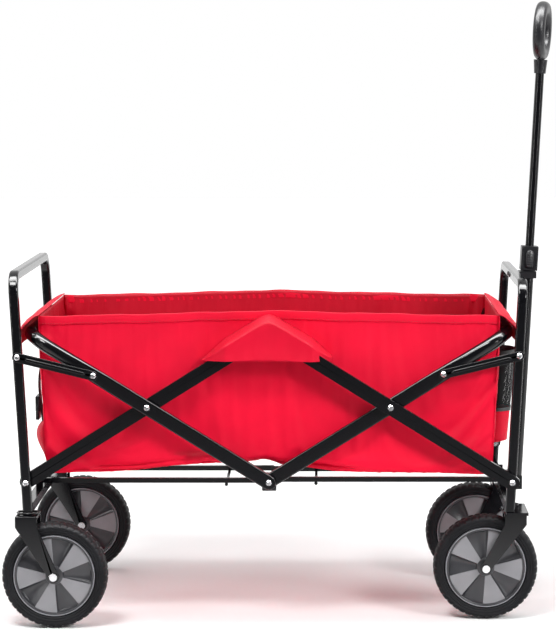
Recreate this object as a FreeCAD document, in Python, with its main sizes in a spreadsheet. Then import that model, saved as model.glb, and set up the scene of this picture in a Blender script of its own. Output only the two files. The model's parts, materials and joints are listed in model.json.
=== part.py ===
import FreeCAD, Part

import math
import os
import re

import Sketcher

# A folding wagon with four wheels, a fabric tub and a telescoping pull handle.
# Millimetres.  +X is the pull-handle end (front), +Y is the wagon's left side, +Z is up.
# X = 0 is the plane of the centre hinges, Y = 0 the plane of symmetry, Z = 0 the ground.

SIZES = (
    # scissor linkage
    ("arm_half", 240.0, "pivot spacing along a scissor arm"),
    ("open_angle", 31.9, "slope of the arms when the wagon is open, degrees"),
    ("pivot_height", "=crossbar_height + 43", "height of the leg pivots and of the centre hinges"),
    ("bow_reach", "=arm_half + 11 - bar_height / 2 - frame_tube / 2", "scissor pivot to bow cross tube"),
    ("link_place", "=arm_half * 0.43367", "scissor pivot to the link's pivot on the bow"),
    ("link_height", "=arm_half * 0.8875", "leg pivot to the link's pivot, up the leg"),
    ("bar_height", 24.0, "height of the flat-sided arm tube"),
    ("bar_thickness", 12.0, "thickness of the flat-sided arm tube"),
    ("inner_face", 215.0, "half the width between the inner layer of arms"),
    ("layer_gap", 2.0, "gap between two layers of arms"),
    ("bow_tube", 22.0, "diameter of the bow's cross tube"),
    ("link_width", 16.0, "width of a link"),
    ("link_thickness", 5.0, "thickness of a link"),
    # end frames
    ("frame_tube", 16.0, "square tube of the end frames"),
    ("tube_wall", 1.5, "wall of every steel tube"),
    ("bend_radius", 31.0, "centre-line bend radius of the end frames"),
    ("leg_lean", 3.0, "outward lean of the legs, degrees"),
    ("rear_top", "=tub_rim_height + 70", "height of the rear crossbar's centre line"),
    ("front_top", "=tub_rim_height + 54", "height of the front crossbar's centre line"),
    ("rear_foot", "=2 * wheel_radius + 13.2", "height of the rear legs' lower ends"),
    ("front_foot", "=2 * wheel_radius + 13.7", "height of the front legs' lower ends"),
    ("crossbar_height", "=front_foot + frame_tube / 2 + 0.5", "height of the lower crossbars"),
    # rivets and fits
    ("rivet_radius", 3.0, "shank of every frame rivet"),
    ("rivet_head", 5.0, "radius of a rivet's head"),
    ("head_height", 2.4, "height of a rivet's head"),
    ("running_gap", 0.1, "radial clearance of a pin in its hole"),
    ("side_gap", 0.4, "clearance between faces that turn on each other"),
    # wheels
    ("wheel_radius", 88.9, "outside of the tyre"),
    ("bead_radius", 69.0, "inside of the tyre and outside of the rim"),
    ("tyre_width", 44.0, "width of the tyre"),
    ("rim_width", 38.0, "width of the rim at the bead"),
    ("web_width", 26.0, "thickness of the rim's disc"),
    ("hub_radius", 14.0, "outside of the hub"),
    ("axle_radius", 5.0, "radius of an axle bolt"),
    ("bolt_head", 6.5, "radius of an axle bolt's head"),
    ("bolt_head_height", 5.0, "height of an axle bolt's head"),
    ("rear_track", "=inner_face + 25", "centre line of a rear wheel from the plane of symmetry"),
    ("front_track", "=inner_face - 49", "centre line of a front wheel from the plane of symmetry"),
    ("rear_trail", 45.0, "rear leg to rear axle"),
    ("front_trail", 50.0, "swivel axis to front axle"),
    ("swivel_offset", 12.2, "front leg's foot to swivel axis"),
    ("fork_plate", 3.0, "thickness of a fork's sides"),
    ("fork_gap", 4.0, "gap between tyre and fork"),
    ("fork_crown", 6.0, "thickness of a fork's crown"),
    ("fork_width", 37.0, "length of a fork's crown"),
    ("fork_toe", 10.0, "radius of a fork's end round the axle"),
    ("kingpin_radius", 5.0, "radius of a caster's kingpin"),
    ("housing_plate", 5.0, "thickness of a caster housing's plate"),
    ("housing_cup", 3.5, "depth of a caster housing's bearing cup"),
    # floor rails
    ("rail_size", 8.5, "square section of a floor rail"),
    ("rail_height", "=crossbar_height + frame_tube / 2 + 12", "height of the rails' centre line"),
    ("rail_track", 68.0, "rear rails from the plane of symmetry"),
    ("rail_ear", 4.0, "thickness of the ear that carries a rail's pin"),
    ("rail_gap", 1.5, "sideways gap between front and rear rails"),
    ("rod_setback", 78.0, "cross rod from the centre hinge"),
    ("rod_radius", 3.0, "radius of a cross rod"),
    # pull handle
    ("handle_pivot_height", "=crossbar_height + 11", "height of the handle's pivot"),
    ("handle_setback", 25.2, "front leg's line to the handle's line"),
    ("handle_tube", 10.0, "radius of the outer handle tube"),
    ("inner_tube", "=handle_tube - tube_wall - 1", "radius of the telescoping tube"),
    ("outer_length", "=front_top - handle_pivot_height + 8.5", "handle pivot to the lock block"),
    ("lock_height", 42.0, "height of the lock block"),
    ("lock_depth", 29.0, "depth of the lock block along X"),
    ("lock_width", 34.0, "width of the lock block along Y"),
    ("extension", 301.0, "telescoping tube seen above the lock block"),
    ("tube_overlap", 95.0, "telescoping tube held inside when extended"),
    ("socket_height", 24.0, "height of the grip's socket"),
    ("grip_tube", 11.0, "radius of the grip's round bar"),
    ("grip_bend", 40.0, "centre-line radius of the grip loop"),
    ("grip_straight", 12.0, "straight stretch across the top of the grip loop"),
    ("grip_turn", -12.0, "turn of the grip loop about the tube, degrees"),
    ("button_radius", 7.0, "radius of the lock button"),
    ("button_travel", 3.0, "travel of the lock button"),
    # fabric
    ("fabric", 3.0, "thickness that stands for a fabric panel"),
    ("tub_half_width", "=inner_face - 5", "outside of the tub's long sides"),
    ("tub_floor_half", "=2 * arm_half * cos(open_angle) - 31.5", "half the length of the tub at its floor"),
    ("tub_rim_half", "=2 * arm_half * cos(open_angle) - 19.5", "half the length of the tub at its rim"),
    ("tub_floor_height", "=pivot_height + 15", "underside of the tub"),
    ("tub_rim_height", "=pivot_height + 2 * arm_half * sin(open_angle) + 23.35", "rim at the tub's ends"),
    ("tub_peak_height", "=tub_rim_height + 9", "rim of the tub at its middle"),
    ("mat_thickness", 8.0, "thickness of the floor mat"),
    ("strap_width", 25.0, "width of a webbing strap"),
    ("strap_thickness", 2.0, "thickness of a webbing strap"),
    ("flap_half", 108.0, "half the width of a side flap's lower edge"),
    ("flap_low", "=tub_rim_height - 73", "height of a side flap's lower edge"),
    ("cup_width", 92.0, "width of a cup holder"),
    ("cup_depth", 34.0, "how far a cup holder stands out"),
    ("cup_height", "=tub_rim_height - tub_floor_height - 112", "height of a cup holder"),
    ("cup_low", "=tub_floor_height + 45", "underside of a cup holder"),
    ("cup_place", "=inner_face - 85", "cup holder from the plane of symmetry"),
)

NAMES = re.compile(r"\b(" + "|".join(name for name, number, note in SIZES) + r")\b")
SIDES = (("left", 1), ("right", -1))
Y_AXIS = FreeCAD.Vector(0, 1, 0)
Z_AXIS = FreeCAD.Vector(0, 0, 1)

document = FreeCAD.newDocument("folding_wagon")
sheet = document.addObject("Spreadsheet::Sheet", "sizes")
for row, (name, number, note) in enumerate(SIZES, start=1):
    sheet.set("A%d" % row, note)
    sheet.setAlias("B%d" % row, name)
for row, (name, number, note) in enumerate(SIZES, start=1):
    sheet.set("B%d" % row, str(number))
document.recompute()
VALUE = dict((name, float(sheet.get(name))) for name, number, note in SIZES)

subparts = []


# ---- helpers ----

def bind(item, **formulas):
    """Tie an object's properties to the sheet, each by a formula in the sheet's own names."""
    for name, formula in formulas.items():
        item.setExpression(name, NAMES.sub(r"sizes.\1", formula))
    item.recompute()


def block(length, width, height, centre):
    """A box about its centre."""
    item = document.addObject("Part::Box", "block")
    bind(item, Length=length, Width=width, Height=height)
    half = FreeCAD.Vector(item.Length.Value, item.Width.Value, item.Height.Value) * 0.5
    item.Placement = FreeCAD.Placement(FreeCAD.Vector(*centre) - half, FreeCAD.Rotation())
    return item


def rod(radius, length, start, direction=(0, 1, 0)):
    """A round bar from its start along a direction."""
    item = document.addObject("Part::Cylinder", "rod")
    bind(item, Radius=radius, Height=length)
    turn = FreeCAD.Rotation(Z_AXIS, FreeCAD.Vector(*direction))
    item.Placement = FreeCAD.Placement(FreeCAD.Vector(*start), turn)
    return item


def rod_across(radius, length, x, y, z):
    """A round bar along Y, about its centre."""
    item = rod(radius, length, (x, y, z))
    item.Placement.Base = FreeCAD.Vector(x, y - item.Height.Value / 2, z)
    return item


def joined(pieces):
    item = document.addObject("Part::MultiFuse", "joined")
    item.Shapes = pieces
    return item


def without(base, tools):
    item = document.addObject("Part::Cut", "cut")
    item.Base = base
    item.Tool = tools[0] if len(tools) == 1 else joined(tools)
    return item


def subpart(label, item, place=None):
    item.Label = label
    if place is not None:
        item.Placement = place
    subparts.append(item)
    return item


def placed(x, y, z, turn=0.0):
    """A placement at a point, turned about Y."""
    return FreeCAD.Placement(FreeCAD.Vector(x, y, z), FreeCAD.Rotation(Y_AXIS, turn))


def origin_plane(body, role):
    return next(plane for plane in body.Origin.OriginFeatures if plane.Role == role)


def new_sketch(body, name, role):
    sketch = body.newObject("Sketcher::SketchObject", name)
    sketch.AttachmentSupport = [(origin_plane(body, role), "")]
    sketch.MapMode = "FlatFace"
    return sketch


def outline(sketch, corners):
    """A closed outline of straight edges whose corners are tied to the sheet by formulas."""
    probe = document.addObject("Part::Box", "probe")
    spots = []
    for across, up in corners:
        bind(probe, Length="1000 + " + across, Width="1000 + " + up)
        spots.append(FreeCAD.Vector(probe.Length.Value - 1000, probe.Width.Value - 1000, 0))
    document.removeObject(probe.Name)
    for index, spot in enumerate(spots):
        sketch.addGeometry(Part.LineSegment(spot, spots[(index + 1) % len(spots)]), False)
    for index, (across, up) in enumerate(corners):
        following = (index + 1) % len(corners)
        sketch.addConstraint(Sketcher.Constraint("Coincident", index, 2, following, 1))
        offsets = (("DistanceX", spots[index].x, across), ("DistanceY", spots[index].y, up))
        for kind, value, formula in offsets:
            number = sketch.addConstraint(Sketcher.Constraint(kind, -1, 1, index, 1, value))
            sketch.setExpression("Constraints[%d]" % number, NAMES.sub(r"sizes.\1", formula))


def panel(corners, thickness, role="XZ_Plane"):
    """A flat piece: an outline, thickened equally to both sides of its plane."""
    body = document.addObject("PartDesign::Body", "panel")
    sketch = new_sketch(body, "edge", role)
    outline(sketch, corners)
    pad = body.newObject("PartDesign::Pad", "thickness")
    pad.Profile = sketch
    pad.SideType = "Symmetric"
    bind(pad, Length=thickness)
    return body


def turned(corners):
    """A round piece about Y: corners give radius and place along the axle."""
    body = document.addObject("PartDesign::Body", "turned")
    sketch = new_sketch(body, "half_section", "XY_Plane")
    outline(sketch, corners)
    revolution = body.newObject("PartDesign::Revolution", "revolution")
    revolution.Profile = sketch
    revolution.ReferenceAxis = (sketch, ["V_Axis"])
    revolution.Angle = 360
    return body


def rivet(x, z, side, inner, outer):
    """A rivet along Y with a flat inner head and a tapered outer one, between two faces."""
    low, high = sorted((side * inner, side * outer))
    shank = rod("rivet_radius", str(high - low), (x, low, z))
    inner_head = rod("rivet_head", "head_height", (x, side * inner, z), (0, -side, 0))
    outer_head = document.addObject("Part::Cone", "head")
    bind(outer_head, Radius1="rivet_head", Radius2="rivet_head * 0.6", Height="head_height")
    outward = FreeCAD.Rotation(Z_AXIS, FreeCAD.Vector(0, side, 0))
    outer_head.Placement = FreeCAD.Placement(FreeCAD.Vector(x, side * outer, z), outward)
    return joined([shank, inner_head, outer_head])


def group(pieces):
    """Separate solids that share one file."""
    item = document.addObject("Part::Compound", "group")
    item.Links = pieces
    return item


# ---- places worked out from the sizes ----

half = VALUE["arm_half"]
slope = math.radians(VALUE["open_angle"])
lean = math.radians(VALUE["leg_lean"])
leg_x = 2 * half * math.cos(slope)
leg_z = VALUE["pivot_height"]
peak_z = leg_z + 2 * half * math.sin(slope)
scissor_x = half * math.cos(slope)
scissor_z = leg_z + half * math.sin(slope)
link_leg_x = leg_x + VALUE["link_height"] * math.sin(lean)
link_leg_z = leg_z + VALUE["link_height"] * math.cos(lean)
link_bow_x = leg_x - (half - VALUE["link_place"]) * math.cos(slope)
link_bow_z = leg_z + (half + VALUE["link_place"]) * math.sin(slope)
link_length = math.hypot(link_leg_x - link_bow_x, link_leg_z - link_bow_z)
link_slope = math.degrees(math.atan2(link_leg_z - link_bow_z, link_leg_x - link_bow_x))

inner_in = VALUE["inner_face"]
inner_out = inner_in + VALUE["bar_thickness"]
outer_in = inner_out + VALUE["layer_gap"]
outer_out = outer_in + VALUE["bar_thickness"]
inner_layer = (inner_in + inner_out) / 2
outer_layer = (outer_in + outer_out) / 2
rear_leg_y = outer_in + VALUE["frame_tube"] / 2
front_leg_y = inner_out - VALUE["frame_tube"] / 2
rear_leg_out = rear_leg_y + VALUE["frame_tube"] / 2
front_leg_in = front_leg_y - VALUE["frame_tube"] / 2
side_gap = VALUE["side_gap"]
rear_link_y = rear_leg_out + 1 + VALUE["link_thickness"] / 2
front_link_y = inner_out + side_gap + VALUE["link_thickness"] / 2


def leg_line(height):
    """Distance of a leg's centre line from the centre plane at a height."""
    return leg_x + (height - leg_z) * math.tan(lean)


swivel_x = leg_line(VALUE["front_foot"]) + VALUE["swivel_offset"]


# ---- end frames ----

def square(sketch, centre, size):
    reach = size / 2
    quarters = ((-1, -1), (1, -1), (1, 1), (-1, 1))
    corners = [FreeCAD.Vector(centre + a * reach, b * reach, 0) for a, b in quarters]
    for index, corner in enumerate(corners):
        sketch.addGeometry(Part.LineSegment(corner, corners[(index + 1) % 4]), False)


def end_frame(label, end, leg_y, top, foot):
    """Two legs and the top crossbar, bent from one square tube."""
    body = document.addObject("PartDesign::Body", "end_frame")
    route = new_sketch(body, "route", "YZ_Plane")
    bend = VALUE["bend_radius"]
    high = (top - leg_z) / math.cos(lean)
    low = (foot - leg_z) / math.cos(lean)
    shoulder = high - bend
    spots = [
        FreeCAD.Vector(across, up, 0)
        for across, up in (
            (-leg_y, low), (-leg_y, shoulder), (bend - leg_y, high),
            (leg_y - bend, high), (leg_y, shoulder), (leg_y, low),
        )
    ]
    left_bend = Part.Circle(FreeCAD.Vector(bend - leg_y, shoulder, 0), Z_AXIS, bend)
    right_bend = Part.Circle(FreeCAD.Vector(leg_y - bend, shoulder, 0), Z_AXIS, bend)
    route.addGeometry(Part.LineSegment(spots[0], spots[1]), False)
    route.addGeometry(Part.ArcOfCircle(left_bend, math.pi / 2, math.pi), False)
    route.addGeometry(Part.LineSegment(spots[2], spots[3]), False)
    route.addGeometry(Part.ArcOfCircle(right_bend, 0, math.pi / 2), False)
    route.addGeometry(Part.LineSegment(spots[4], spots[5]), False)
    section = body.newObject("Sketcher::SketchObject", "section")
    section.AttachmentSupport = [(origin_plane(body, "XY_Plane"), "")]
    section.MapMode = "FlatFace"
    section.AttachmentOffset = FreeCAD.Placement(FreeCAD.Vector(0, -leg_y, low), FreeCAD.Rotation())
    square(section, 0, VALUE["frame_tube"])
    square(section, 0, VALUE["frame_tube"] - 2 * VALUE["tube_wall"])
    document.recompute()
    pipe = body.newObject("PartDesign::AdditivePipe", "tube")
    pipe.Profile = section
    pipe.Spine = (route, [])
    document.recompute()
    holes = [
        rod_across("rivet_radius + running_gap", str(2 * leg_y + 60), 0, 0, place)
        for place in (0, VALUE["link_height"])
    ]
    frame = without(body, holes)
    subpart(label, frame, placed(end * leg_x, 0, leg_z, end * VALUE["leg_lean"]))


def lower_crossbar(label, end, leg_y, rail_y):
    """Square tube between the legs, with two welded ears whose pins carry the floor rails."""
    reach = leg_y - VALUE["frame_tube"] / 2
    x = end * leg_line(VALUE["crossbar_height"])
    z = VALUE["crossbar_height"]
    bar = block("frame_tube", str(2 * reach), "frame_tube", (x, 0, z))
    bore = block("frame_tube - 2 * tube_wall", str(2 * reach + 2), "frame_tube - 2 * tube_wall", (x, 0, z))
    pieces = [bar]
    ear = VALUE["rail_ear"]
    ear_low = z + VALUE["frame_tube"] / 2 - VALUE["tube_wall"] / 2
    ear_high = VALUE["rail_height"] + VALUE["rail_size"]
    for _, side in SIDES:
        ear_y = side * (rail_y - VALUE["rail_size"] / 2 - side_gap - ear / 2)
        ear_centre = (x, ear_y, (ear_high + ear_low) / 2)
        pieces.append(block("frame_tube - 4", str(ear), str(ear_high - ear_low), ear_centre))
        pin_start = (x, ear_y, VALUE["rail_height"])
        pieces.append(rod("rod_radius", "rail_size + side_gap + rail_ear + 1", pin_start, (0, side, 0)))
    notches = [
        rod("bolt_head + side_gap", "frame_tube / 2 + bolt_head_height + side_gap",
            (swivel_x, side * VALUE["front_track"], z - VALUE["frame_tube"]), (0, 0, 1))
        for _, side in SIDES
        if end > 0
    ]
    subpart(label, without(joined(pieces), [bore] + notches))


rear_rail_y = VALUE["rail_track"]
front_rail_y = rear_rail_y - VALUE["rail_size"] - VALUE["rail_gap"]
end_frame("rear_frame_tube", -1, rear_leg_y, VALUE["rear_top"], VALUE["rear_foot"])
end_frame("front_frame_tube", 1, front_leg_y, VALUE["front_top"], VALUE["front_foot"])
lower_crossbar("rear_lower_crossbar", -1, rear_leg_y, rear_rail_y)
lower_crossbar("front_lower_crossbar", 1, front_leg_y, front_rail_y)


# ---- scissor arms, bows and links ----

def bar(length, holes):
    """A closed flat-sided tube along local X with round ends and pivot holes."""
    thickness = "bar_thickness"
    span = block(length, thickness, "bar_height", (0, 0, 0))
    reach = span.Length.Value
    span.Placement.Base.x = 0
    ends = [rod_across("bar_height / 2", thickness, x, 0, 0) for x in (0, reach)]
    hollow = block(length, thickness + " - 2 * tube_wall", "bar_height - 2 * tube_wall", (0, 0, 0))
    hollow.Placement.Base.x = 0
    drills = [rod_across("rivet_radius + running_gap", thickness + " + 2", x, 0, 0) for x in holes]
    return joined([span] + ends), [hollow] + drills


def arm(label, end, y, turn):
    solid, cuts = bar("2 * arm_half", (0, half, 2 * half))
    subpart(label, without(solid, cuts), placed(end * leg_x, y, leg_z, turn))


def bow(label, layer, turn):
    """Two bars with a round cross tube between their upper ends, welded into one hoop."""
    reach = half + VALUE["bow_reach"]
    solids = []
    cuts = []
    for _, side in SIDES:
        solid, drills = bar("arm_half + bow_reach", (0, half))
        for item in [solid] + drills:
            item.Placement = placed(0, side * layer, 0) * item.Placement
        solids.append(solid)
        cuts += drills
    solids.append(rod_across("bow_tube / 2", str(2 * layer), reach, 0, 0))
    cuts.append(rod_across("bow_tube / 2 - tube_wall", str(2 * layer + 40), reach, 0, 0))
    subpart(label, without(joined(solids), cuts), placed(0, 0, leg_z, turn))


def link_pair(label, layer, x, z, turn):
    """Two flat links; each hangs from its leg's pivot."""
    links = []
    for _, side in SIDES:
        plate = block(str(link_length), "link_thickness", "link_width", (link_length / 2, side * layer, 0))
        ends = [
            rod_across("link_width / 2", "link_thickness", place, side * layer, 0)
            for place in (0, link_length)
        ]
        drills = [
            rod_across("rivet_radius + running_gap", "link_thickness + 2", place, side * layer, 0)
            for place in (0, link_length)
        ]
        links.append(without(joined([plate] + ends), drills))
    subpart(label, group(links), placed(x, 0, z, turn))


open_turn = VALUE["open_angle"]
for name, side in SIDES:
    arm("rear_arm_" + name, -1, side * inner_layer, -open_turn)
    arm("front_arm_" + name, 1, side * outer_layer, open_turn - 180)
bow("rear_bow", outer_layer, open_turn - 180)
bow("front_bow", inner_layer, -open_turn)
link_pair("rear_links", rear_link_y, -link_leg_x, link_leg_z, link_slope)
link_pair("front_links", front_link_y, link_leg_x, link_leg_z, 180 - link_slope)


def rivets(label, stations):
    """A set of equal rivets on both sides; each station gives x, z, inner face and outer face."""
    pieces = [
        rivet(x, z, side, inner, outer)
        for x, z, inner, outer in stations
        for _, side in SIDES
    ]
    subpart(label, group(pieces))


rear_link_out = rear_link_y + VALUE["link_thickness"] / 2
front_link_out = front_link_y + VALUE["link_thickness"] / 2
rivets("rear_leg_rivets", (
    (-leg_x, leg_z, inner_in - side_gap, rear_leg_out),
    (-link_leg_x, link_leg_z, outer_in, rear_link_out + side_gap),
))
rivets("front_leg_rivets", (
    (leg_x, leg_z, front_leg_in, outer_out + side_gap),
    (link_leg_x, link_leg_z, front_leg_in, front_link_out + side_gap),
))
rivets("rear_arm_rivets", (
    (-scissor_x, scissor_z, inner_in, outer_out + side_gap),
    (0, peak_z, inner_in, outer_out + side_gap),
))
rivets("front_arm_rivets", (
    (scissor_x, scissor_z, inner_in - side_gap, outer_out),
))
rivets("centre_hinge_rivets", (
    (0, leg_z, inner_in - side_gap, outer_out),
))


def link_rivets(label, x, layer):
    """Short rivets at the links' lower ends, clear of the bow."""
    pieces = []
    for _, side in SIDES:
        face = side * (layer + VALUE["link_thickness"] / 2)
        shank = rod("rivet_radius", "link_thickness", (x, face, link_bow_z), (0, -side, 0))
        head = document.addObject("Part::Cone", "head")
        bind(head, Radius1="rivet_head", Radius2="rivet_head * 0.6", Height="head_height")
        outward = FreeCAD.Rotation(Z_AXIS, FreeCAD.Vector(0, side, 0))
        head.Placement = FreeCAD.Placement(FreeCAD.Vector(x, face, link_bow_z), outward)
        pieces.append(joined([shank, head]))
    subpart(label, group(pieces))


link_rivets("rear_link_rivets", -link_bow_x, rear_link_y)
link_rivets("front_link_rivets", link_bow_x, front_link_y)

block_depth = 14.0
block_face = inner_in - side_gap - VALUE["head_height"]
block_top = VALUE["tub_floor_height"] - 3
block_low = leg_z - 18
subpart("centre_hinge_blocks", group([
    block("bar_height", str(block_depth), str(block_top - block_low),
          (0, side * (block_face - block_depth / 2), (block_top + block_low) / 2))
    for _, side in SIDES
]))


# ---- floor rails ----

def floor_rails(label, end, rail_y):
    """Two rails joined by a cross rod under them; they hinge on the lower crossbar's pins."""
    pivot_x = leg_line(VALUE["crossbar_height"])
    length = pivot_x
    solids = []
    drills = []
    for _, side in SIDES:
        rail = block(str(length), "rail_size", "rail_size", (-end * length / 2, side * rail_y, 0))
        eye = rod_across("rail_size / 2 + 1.5", "rail_size", 0, side * rail_y, 0)
        toe = rod_across("rail_size / 2", "rail_size", -end * length, side * rail_y, 0)
        solids += [rail, eye, toe]
        drills.append(rod_across("rod_radius + running_gap", "rail_size + 2", 0, side * rail_y, 0))
    rod_x = -end * (length - VALUE["rod_setback"])
    rod_z = -VALUE["rail_size"] / 2 - VALUE["rod_radius"] + 0.5
    solids.append(rod_across("rod_radius", str(2 * rail_y + VALUE["rail_size"]), rod_x, 0, rod_z))
    subpart(label, without(joined(solids), drills), placed(end * pivot_x, 0, VALUE["rail_height"]))


floor_rails("rear_floor_rails", -1, rear_rail_y)
floor_rails("front_floor_rails", 1, front_rail_y)


# ---- wheels and forks ----

axle_z = VALUE["wheel_radius"]
rear_axle_x = -leg_line(VALUE["rear_foot"]) + VALUE["rear_trail"]
front_axle_x = swivel_x - VALUE["front_trail"]


def wheel(end, name, x, y):
    shoulder = "wheel_radius - 7"
    tyre = turned((
        ("bead_radius", "-tyre_width / 2 + 2"), (shoulder, "-tyre_width / 2"),
        ("wheel_radius", "-tyre_width / 2 + 9"), ("wheel_radius", "tyre_width / 2 - 9"),
        (shoulder, "tyre_width / 2"), ("bead_radius", "tyre_width / 2 - 2"),
    ))
    bore = "axle_radius + running_gap"
    rim = turned((
        (bore, "-rim_width / 2"), ("hub_radius", "-rim_width / 2"), ("hub_radius", "-web_width / 2"),
        ("bead_radius - 7", "-web_width / 2"), ("bead_radius - 7", "-rim_width / 2"),
        ("bead_radius", "-rim_width / 2"), ("bead_radius", "rim_width / 2"),
        ("bead_radius - 7", "rim_width / 2"), ("bead_radius - 7", "web_width / 2"),
        ("hub_radius", "web_width / 2"), ("hub_radius", "rim_width / 2"), (bore, "rim_width / 2"),
    ))
    subpart("%s_tyre_%s" % (end, name), tyre, placed(x, y, axle_z))
    subpart("%s_rim_%s" % (end, name), rim, placed(x, y, axle_z))


fork_side_y = VALUE["tyre_width"] / 2 + VALUE["fork_gap"] + VALUE["fork_plate"] / 2
fork_shoulder = 18.0


def fork(crown_z, crown_x, toward, y):
    """A crown and two tapered sides that reach the axle; local origin at the ground under the crown."""
    crown = block("fork_width", "2 * (tyre_width / 2 + fork_gap + fork_plate)", "fork_crown",
                  (crown_x, y, crown_z + VALUE["fork_crown"] / 2))
    drop = str(crown_z + VALUE["fork_crown"])
    shoulder = str(crown_z + VALUE["fork_crown"] - fork_shoulder)
    reach = str(toward)
    sides = []
    for _, side in SIDES:
        plate = panel((
            ("-fork_width / 2", drop), ("fork_width / 2", drop), ("fork_width / 2", shoulder),
            (reach + " + fork_toe", "wheel_radius"), (reach + " - fork_toe", "wheel_radius"),
            ("-fork_width / 2", shoulder),
        ), "fork_plate")
        plate.Placement = placed(crown_x, y + side * fork_side_y, 0)
        toe = rod_across("fork_toe", "fork_plate", crown_x + toward, y + side * fork_side_y, axle_z)
        sides += [plate, toe]
    drill = rod_across("axle_radius + running_gap", "tyre_width + 40", crown_x + toward, y, axle_z)
    return [crown] + sides, [drill]


def axle_bolt(x, y):
    """A bolt through both fork sides with a head on one end and a nut on the other."""
    span = VALUE["tyre_width"] + 2 * (VALUE["fork_gap"] + VALUE["fork_plate"])
    shank = rod_across("axle_radius", "tyre_width + 2 * (fork_gap + fork_plate)", x, y, axle_z)
    heads = [
        rod("bolt_head", "bolt_head_height", (x, y + side * span / 2, axle_z), (0, side, 0))
        for _, side in SIDES
    ]
    return joined([shank] + heads)


rear_crown_z = VALUE["rear_foot"] - 0.5 - VALUE["fork_crown"]
rear_crown_x = -leg_line(VALUE["rear_foot"])
for name, side in SIDES:
    y = side * VALUE["rear_track"]
    solids, drills = fork(rear_crown_z, rear_crown_x, VALUE["rear_trail"], y)
    subpart("rear_fork_" + name, without(joined(solids), drills))
    wheel("rear", name, rear_axle_x, y)
subpart("rear_axle_bolts", group([axle_bolt(rear_axle_x, side * VALUE["rear_track"]) for _, side in SIDES]))

plate_top = VALUE["front_foot"] - 0.5
cup_low = plate_top - VALUE["housing_plate"] - VALUE["housing_cup"]
front_crown_z = cup_low - side_gap - VALUE["fork_crown"]
kingpin_hole = "kingpin_radius + running_gap"
housing_outer_edge = 5.0
housing_inner_reach = 28.0
kingpin_rise = 2.0
kingpin_root = 3.0
for name, side in SIDES:
    y = side * VALUE["front_track"]
    plate_out = front_leg_y + VALUE["frame_tube"] / 2 + housing_outer_edge
    plate_in = VALUE["front_track"] - housing_inner_reach
    plate = block("fork_width", str(plate_out - plate_in), "housing_plate",
                  (swivel_x, side * (plate_out + plate_in) / 2, plate_top - VALUE["housing_plate"] / 2))
    cup = rod("fork_width / 2", "housing_cup", (swivel_x, y, cup_low), (0, 0, 1))
    hole = rod(kingpin_hole, "housing_plate + housing_cup + 4", (swivel_x, y, cup_low - 2), (0, 0, 1))
    subpart("caster_housing_" + name, without(joined([plate, cup]), [hole]))
    solids, drills = fork(front_crown_z, swivel_x, -VALUE["front_trail"], y)
    crown_top = front_crown_z + VALUE["fork_crown"]
    pin_low = crown_top - kingpin_root
    pin_length = plate_top + kingpin_rise - pin_low
    pin = rod("kingpin_radius", str(pin_length), (swivel_x, y, pin_low), (0, 0, 1))
    nut = rod("bolt_head", "bolt_head_height", (swivel_x, y, plate_top + side_gap), (0, 0, 1))
    subpart("front_fork_" + name, without(joined(solids + [pin, nut]), drills))
    subpart("front_axle_bolt_" + name, axle_bolt(front_axle_x, y))
    wheel("front", name, front_axle_x, y)


# ---- pull handle: local Z runs up the tubes from the pivot ----

handle_z = VALUE["handle_pivot_height"]
handle_x = leg_line(handle_z) + VALUE["handle_setback"]
handle_place = placed(handle_x, 0, handle_z, VALUE["leg_lean"])
bolt_radius = 4.0
bracket_plate = 4.0
ear_nose = 10.0
ear_drop = 4.0
ear_y = VALUE["handle_tube"] + side_gap + bracket_plate / 2
bar_front = leg_line(VALUE["crossbar_height"]) + VALUE["frame_tube"] / 2
ears = [
    block(str(handle_x + ear_nose - bar_front), str(bracket_plate), "frame_tube + 8",
          ((handle_x + ear_nose + bar_front) / 2, side * ear_y, handle_z - ear_drop))
    for _, side in SIDES
]
base_plate = 3.0
base = block(str(base_plate), "2 * handle_tube + 8", "frame_tube",
             (bar_front + base_plate / 2, 0, VALUE["crossbar_height"]))
bracket_hole = rod_across(str(bolt_radius + VALUE["running_gap"]), "80", handle_x, 0, handle_z)
subpart("handle_bracket", without(joined(ears + [base]), [bracket_hole]))

bolt_half = ear_y + bracket_plate / 2
bolt_pieces = [rod_across(str(bolt_radius), str(2 * bolt_half), handle_x, 0, handle_z)]
bolt_pieces += [
    rod("bolt_head - 1", "4", (handle_x, side * bolt_half, handle_z), (0, side, 0))
    for _, side in SIDES
]
subpart("handle_pivot_bolt", joined(bolt_pieces))

outer_low = -8.0
outer_tube = rod("handle_tube", "outer_length + %s" % -outer_low, (0, 0, outer_low), (0, 0, 1))
outer_bore = rod("handle_tube - tube_wall", "outer_length + 40", (0, 0, outer_low - 10), (0, 0, 1))
eye = rod_across(str(bolt_radius + VALUE["running_gap"]), "60", 0, 0, 0)
subpart("handle_outer_tube", without(outer_tube, [outer_bore, eye]), handle_place)

lock_z = VALUE["outer_length"] + VALUE["lock_height"] / 2
lock_body = block("lock_depth", "lock_width", "lock_height", (0, 0, lock_z))
tube_way = rod("inner_tube + running_gap", "lock_height + 4", (0, 0, VALUE["outer_length"] - 2), (0, 0, 1))
button_share = 0.6
button_z = VALUE["outer_length"] + VALUE["lock_height"] * button_share
button_seat = VALUE["inner_tube"] + 3
button_way = rod("button_radius + side_gap", "30", (0, -button_seat, button_z), (0, -1, 0))
subpart("lock_block", without(lock_body, [tube_way, button_way]), handle_place)

button_proud = 3.4
button_spare = 0.5
button_face = VALUE["lock_width"] / 2 + button_proud
button_back = button_seat + VALUE["button_travel"] + button_spare
button = rod("button_radius", str(button_face - button_back), (0, -button_back, button_z), (0, -1, 0))
subpart("lock_button", button, handle_place * button.Placement)

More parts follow.
